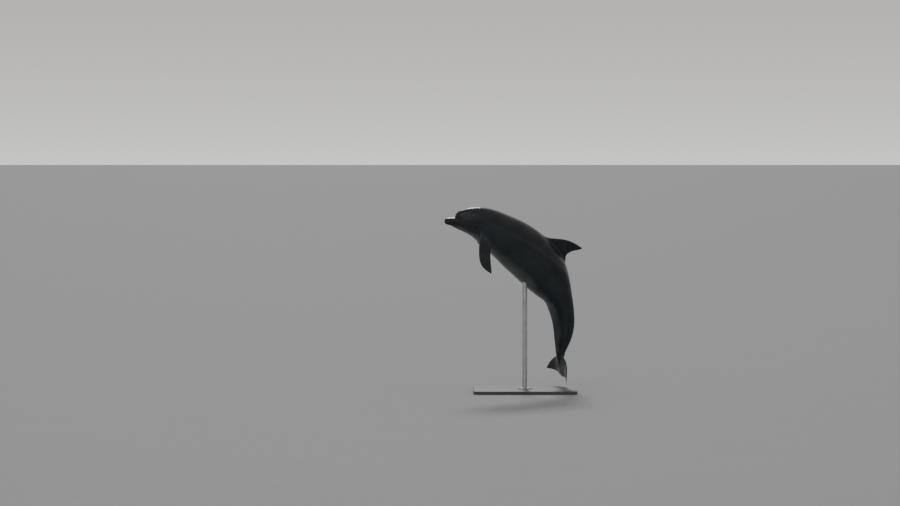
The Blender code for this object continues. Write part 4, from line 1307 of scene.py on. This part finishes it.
def skin_material(s):
    """Wet skin: dark cape, slate flanks, paler belly and throat held dark as painted shade, painted shade
    near black in the creases, old scratches and a thin film of water.

    The tone, 1 on the back and -1 on the belly, wanders with a cloud before it picks the colour.
    """
    made, paint, shader = material_of(
        "wet_skin", Coat_Roughness=0.15, Coat_IOR=1.33, Specular_IOR_Level=0.30, IOR=1.40
    )
    place = paint.attribute("rest", "Vector")
    tone, line, patch = (paint.attribute(name) for name in ("tone", "line", "patch"))
    uneven = paint.group("unevenness", Place=place, Scale=5.0)
    wander = paint.times(paint.less(paint.cloud(place, 3.2, 4.0), 0.5), TONE_WANDER)
    tone = paint.plus(tone, wander)
    aft = paint.ramp(paint.split(place)[0], *BELLY_PALES)
    belly = paint.times(paint.ramp(tone, *BELLY_EDGE), aft)
    colour = paint.mix(paint.ramp(tone, *CAPE_EDGE), s.flank, s.cape)
    # The belly's colour, paler than the flanks as on the real animal, is held dark as painted shade of the
    # underside.
    colour = paint.mix(belly, colour, s.belly)
    mottle = paint.mix(uneven["Broad"], (0.80, 0.80, 0.80), (1.18, 1.18, 1.18))
    colour = paint.mix(1.0, colour, mottle, "MULTIPLY")
    freckle = paint.ramp(paint.cloud(place, 75.0, 2.0), 0.60, 0.72, 0.0, 0.30)
    colour = paint.mix(paint.times(freckle, belly), colour, s.flank)
    colour = paint.mix(paint.times(patch, 0.65), colour, s.cape)
    # Painted shade: the line mark darkens the mouth's groove, the lids' rim, the socket and the blowhole's
    # slit to near black; below it also takes off their coat and roughens them.
    colour = paint.mix(paint.times(line, 0.90), colour, CREASE_SHADE_COLOUR)
    rake = paint.group("scratches", Place=place, Scale=4.0, Turn=(0.2, 0.3, 0.5), Amount=s.scratches)
    scar = paint.group("scratches", Place=place, Scale=2.3, Turn=(1.1, -0.4, 1.9), Amount=s.scratches)
    worn = paint.maths("MAXIMUM", rake["Scratch"], scar["Scratch"])
    colour = paint.mix(paint.times(worn, 0.45), colour, brighter(s.flank, SCAR_PALER))
    paint.feed(shader["Base Color"], colour)

    uneven_sheen, worn_sheen = paint.times(uneven["Fine"], 0.10), paint.times(worn, 0.15)
    rough = paint.plus(uneven_sheen, SKIN_ROUGHNESS, worn_sheen, paint.times(line, 0.50))
    paint.feed(shader["Roughness"], rough)
    film = paint.ramp(paint.cloud(place, 7.0, 3.0), 0.35, 0.62, s.wetness * 0.45, s.wetness)
    paint.feed(shader["Coat Weight"], paint.times(film, paint.less(1.0, line)))

    grain = paint.times(paint.cloud(place, 260.0, 2.0), 0.25)
    ripple = paint.cloud(paint.stretched(place, (1.0, 0.35, 0.35)), 38.0, 2.0)
    height = paint.less(paint.plus(grain, ripple), paint.times(worn, 0.6))
    paint.bump(shader, height, distance=0.0008, strength=0.35)
    return made


def eye_material(s):
    """Dark brown iris with fine spokes round a flattened pupil, under a clear wet front.

    The spokes are noise along the angle round the middle. The pupil is an ellipse: x^2 + (wide * y)^2.
    """
    coat = {"Coat_Weight": 1.0, "Coat_Roughness": 0.02, "Coat_IOR": 1.38}
    made, paint, shader = material_of("wet_eye", Roughness=0.20, Specular_IOR_Level=0.12, **coat)
    x, y, _ = paint.split(paint.attribute("gaze", "Vector"))
    low = paint.times(y, PUPIL_WIDE)
    across_square = paint.times(x, x)
    pupil = paint.plus(across_square, paint.times(low, low))
    out = paint.maths("POWER", paint.plus(across_square, paint.times(y, y)), 0.5)
    angle = paint.times(paint.maths("ARCTAN2", y, x), 6.0)
    spoke = paint.node("ShaderNodeCombineXYZ", {0: angle, 1: paint.times(out, 2.0)})[0]
    spokes = paint.cloud(spoke, 3.0, 4.0, 0.65)
    iris = paint.mix(paint.ramp(spokes, 0.35, 0.65), s.iris_dark, s.iris_light)
    colour = paint.mix(paint.ramp(pupil, *PUPIL_EDGE, 1.0, 0.0), iris, PUPIL_COLOUR)
    colour = paint.mix(paint.ramp(out, *WHITE_EDGE), colour, WHITE_COLOUR)
    paint.feed(shader["Base Color"], colour)
    paint.bump(shader, spokes, distance=0.0003, strength=0.15)
    return made


def steel_material(s):
    """Brushed steel: grooves drawn along the rod's height, and faint handling marks."""
    made, paint, shader = material_of("brushed_steel", Metallic=1.0)
    place = paint.object_place()
    drawn = paint.cloud(paint.stretched(place, (1.0, 1.0, 0.012)), 900.0, 2.0)
    uneven = paint.group("unevenness", Place=place, Scale=14.0)
    marks = paint.group("scratches", Place=place, Scale=9.0, Turn=(0.4, 1.2, 0.3), Amount=0.6)["Scratch"]
    colour = paint.mix(uneven["Broad"], s.steel, brighter(s.steel, 0.82))
    paint.feed(shader["Base Color"], paint.mix(paint.times(marks, 0.4), colour, STEEL_MARK))
    uneven_sheen = paint.times(uneven["Fine"], 0.06)
    paint.feed(shader["Roughness"], paint.plus(paint.times(drawn, 0.16), STEEL_ROUGHNESS, uneven_sheen))
    paint.bump(shader, paint.less(drawn, marks), distance=0.0002, strength=0.5)
    return made


def plate_material(s):
    """Painted board: satin paint laid with a fine roller, a little dust, rubbed along the upper edge."""
    made, paint, shader = material_of("painted_plate", Coat_Weight=0.15, Coat_Roughness=0.35)
    place = paint.object_place()
    uneven = paint.group("unevenness", Place=place, Scale=6.0)
    marks = paint.group("scratches", Place=place, Scale=5.0, Turn=(0.0, 0.0, 0.7), Amount=0.5)["Scratch"]
    roller = paint.cloud(place, 420.0, 2.0)
    lighter = brighter(s.paint, 1.35)
    colour = paint.mix(uneven["Broad"], s.paint, lighter)
    colour = paint.mix(paint.ramp(roller, 0.62, 0.75, 0.0, 0.25), colour, lighter)
    colour = paint.mix(paint.times(marks, 0.25), colour, PLATE_MARK)
    height = paint.split(place)[2]
    edge = paint.times(paint.ramp(height, *RUB_STARTS), paint.ramp(height, *RUB_ENDS, 1.0, 0.0))
    patches = paint.ramp(paint.cloud(place, 22.0, 4.0, 0.7), 0.48, 0.66, 0.0, 0.6)
    paint.feed(shader["Base Color"], paint.mix(paint.times(edge, patches), colour, PLATE_RUBBED))
    paint.feed(shader["Roughness"], paint.plus(paint.times(uneven["Fine"], 0.14), PLATE_ROUGHNESS))
    paint.bump(shader, roller, distance=0.0004, strength=0.35)
    return made


def floor_material(s):
    """Pale matt floor with a very faint unevenness."""
    made, paint, shader = material_of("pale_floor", Specular_IOR_Level=0.2)
    uneven = paint.group("unevenness", Place=paint.object_place(), Scale=0.7)
    paint.feed(shader["Base Color"], paint.mix(uneven["Broad"], s.floor, brighter(s.floor, 0.985)))
    paint.feed(shader["Roughness"], paint.plus(paint.times(uneven["Fine"], 0.08), FLOOR_ROUGHNESS))
    return made


def dress(obj, made):
    """Gives an object one material, in place of any it has."""
    obj.data.materials.clear()
    obj.data.materials.append(made)


# ---------------------------------------------------------------- stage


def soft_sun(name, place, spread, strength, colour):
    """A lamp far away in the direction of `place`, as wide in the sky as `spread` degrees."""
    data = bpy.data.lights.new(name, "SUN")
    data.angle = math.radians(spread)
    data.energy = strength
    data.color = colour
    made = placed(name, data)
    made.location = place
    made.rotation_euler = (-Vector(place)).to_track_quat("-Z", "Y").to_euler()


def make_backdrop(s):
    """A plain pale backdrop all round that brightens evenly towards the horizon: e to the minus height."""
    world = bpy.data.worlds.new("soft_backdrop")
    world.use_nodes = True
    paint = Paint(world.node_tree)
    height = paint.split(paint.node("ShaderNodeTexCoord")["Generated"])[2]
    fall = paint.times(paint.maths("MAXIMUM", height, 0.0), -1 / BACKDROP_FADE)
    colour = paint.mix(paint.maths("EXPONENT", fall), s.sky, s.horizon)
    paint.feed(world.node_tree.nodes["Background"].inputs["Color"], colour)
    return world


def make_floor(made):
    """A flat disc under the base, wide enough that its far rim is the horizon."""
    radii = np.geomspace(*FLOOR_RADII, FLOOR_RINGS)[:, None]
    turn = evenly_round(FLOOR_COLUMNS)
    rings = np.stack([radii * np.cos(turn), radii * np.sin(turn), 0 * radii * turn], -1)
    points = np.concatenate([rings.reshape(-1, 3), np.zeros((1, 3))]) + [0.0, 0.0, FLOOR_HEIGHT]
    at = np.arange(len(points) - 1).reshape(FLOOR_RINGS, FLOOR_COLUMNS)
    quads = bands(at)[..., ::-1].reshape(-1, 4)
    mesh = bpy.data.meshes.new("floor")
    mesh.from_pydata(points.tolist(), [], quads.tolist() + fan(at[0], at.size).tolist())
    mesh.update()
    floor = placed("floor", mesh)
    dress(floor, made)
    return floor


def make_camera(lens):
    """A camera far off, level with the animal's middle and tipped down a little."""
    data = bpy.data.cameras.new("camera")
    data.lens, data.sensor_width = lens, 36.0
    data.clip_start, data.clip_end = 0.5, 20000.0
    camera = placed("camera", data)
    camera.location = CAMERA_PLACE
    camera.rotation_euler = (math.radians(90 - CAMERA_TIPS_DOWN), 0.0, 0.0)
    return camera


# ---------------------------------------------------------------- settings, operators and panel


def colour_property(name, description, default):
    """A setting that is a colour."""
    return FloatVectorProperty(
        name=name, description=description, subtype="COLOR", size=3, min=0.0, max=1.0, default=default
    )


def number_property(name, description, low, high, default, **kind):
    """A setting that is a number between low and high, with its unit or subtype."""
    return FloatProperty(name=name, description=description, min=low, max=high, default=default, **kind)


class SkinSettings(PropertyGroup):
    """Colours, wetness and small sizes of the skin"""

    cape: colour_property("Cape", "Colour of the back and of the top of the head", (0.0134, 0.0174, 0.0216))
    flank: colour_property("Flank", "Colour of the sides", (0.0255, 0.0318, 0.0370))
    # Real colour and painted shade: the belly is paler than the flanks, but held far darker than a real
    # belly's pale grey to paint in the shade of the underside.
    belly: colour_property("Belly", "Colour of the belly, throat and chin", (0.104, 0.111, 0.115))
    wetness: number_property(
        "Wetness", "Weight of the film of water", 0.0, 1.0, 0.55, subtype="FACTOR"
    )
    scratches: number_property(
        "Scratches", "How much of the skin is scratched", 0.0, 1.0, 0.5, subtype="FACTOR"
    )
    lid: number_property(
        "Lid", "How far the lids stand over the eyeball", 0.0005, 0.005, 0.0022, unit="LENGTH"
    )
    slit: number_property(
        "Blowhole", "Depth of the blowhole's slit", 0.001, 0.02, 0.0075, unit="LENGTH"
    )


class EyeSettings(PropertyGroup):
    """Colours of the eyes"""

    iris_dark: colour_property("Iris, dark", "Darker colour of the iris", (0.0050, 0.0032, 0.0024))
    iris_light: colour_property("Iris, light", "Lighter colour of the iris", (0.020, 0.0115, 0.0068))


class StandSettings(PropertyGroup):
    """Colours of the display stand"""

    steel: colour_property("Steel", "Colour of the rod, flange and bolts", (0.50, 0.51, 0.52))
    paint: colour_property("Paint", "Colour of the base plate", (0.040, 0.042, 0.045))


class StageSettings(PropertyGroup):
    """Colours and light of the stage, and the camera's lens"""

    floor: colour_property("Floor", "Colour of the floor", (0.318, 0.336, 0.352))
    sky: colour_property("Backdrop", "Colour of the light all round", (0.505, 0.488, 0.460))
    horizon: colour_property(
        "Horizon", "Colour of the backdrop where it meets the floor", (1.0, 0.995, 0.945)
    )
    light: number_property(
        "Light", "Strength of the soft lights against the backdrop", 0.0, 10.0, 1.0
    )
    lens: number_property("Lens", "Focal length of the camera", 10.0, 300.0, 120.0, unit="CAMERA")


class DOLPHIN_OT_skin(Operator):
    """Make the dolphin's one closed skin, with its fins, lids, lips and blowhole"""

    bl_idname = "dolphin.skin"
    bl_label = "Make skin"

    def execute(self, context):
        s = context.scene.dolphin_skin_settings
        skin = skin_piece(s.lid, s.slit)
        dress(skin, skin_material(s))
        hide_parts(*FLESH)
        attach(skin, "root")
        return {"FINISHED"}


class DOLPHIN_OT_eyes(Operator):
    """Make the two eyeballs"""

    bl_idname = "dolphin.eyes"
    bl_label = "Make eyes"

    def execute(self, context):
        glass = eye_material(context.scene.dolphin_eye_settings)
        for word, side in (("left", 1), ("right", -1)):
            ball = eyeball(f"eyeball_{word}", side)
            dress(ball, glass)
            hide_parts(f"eye_{word}")
            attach(ball, "root")
        return {"FINISHED"}


class DOLPHIN_OT_stand(Operator):
    """Finish the stand's steel and its painted base"""

    bl_idname = "dolphin.stand"
    bl_label = "Finish stand"

    def execute(self, context):
        s = context.scene.dolphin_stand_settings
        steel, paint = steel_material(s), plate_material(s)
        for name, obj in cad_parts.items():
            if name.startswith("stand_"):
                dress(obj, paint if name == "stand_base" else steel)
        return {"FINISHED"}


class DOLPHIN_OT_stage(Operator):
    """Make the floor, the soft lights, the backdrop and the camera"""

    bl_idname = "dolphin.stage"
    bl_label = "Make stage"

    def execute(self, context):
        s = context.scene.dolphin_stage_settings
        make_floor(floor_material(s))
        context.scene.world = make_backdrop(s)
        for name, place, spread, strength, colour in LAMPS:
            soft_sun(name, place, spread, strength * s.light, colour)
        context.scene.camera = make_camera(s.lens)
        return {"FINISHED"}


STEPS = (DOLPHIN_OT_skin, DOLPHIN_OT_eyes, DOLPHIN_OT_stand, DOLPHIN_OT_stage)
SETTINGS = {
    "dolphin_skin_settings": SkinSettings,
    "dolphin_eye_settings": EyeSettings,
    "dolphin_stand_settings": StandSettings,
    "dolphin_stage_settings": StageSettings,
}


class DOLPHIN_PT_panel(Panel):
    """The dolphin's pieces and their settings"""

    bl_idname = "DOLPHIN_PT_panel"
    bl_label = "Dolphin"
    bl_space_type = "VIEW_3D"
    bl_region_type = "UI"
    bl_category = "Dolphin"

    def draw(self, context):
        for step, name in zip(STEPS, SETTINGS):
            box = self.layout.box()
            box.operator(step.bl_idname)
            settings = getattr(context.scene, name)
            for key in settings.bl_rna.properties.keys():
                if key not in ("rna_type", "name"):
                    box.prop(settings, key)


CLASSES = (*SETTINGS.values(), *STEPS, DOLPHIN_PT_panel)


def register():
    for made in CLASSES:
        bpy.utils.register_class(made)
    for name, settings in SETTINGS.items():
        setattr(bpy.types.Scene, name, PointerProperty(type=settings))


def unregister():
    for name in SETTINGS:
        delattr(bpy.types.Scene, name)
    for made in reversed(CLASSES):
        bpy.utils.unregister_class(made)


def main():
    register()
    bpy.ops.dolphin.skin()
    bpy.ops.dolphin.eyes()
    bpy.ops.dolphin.stand()
    bpy.ops.dolphin.stage()


if __name__ == "__main__":
    main()
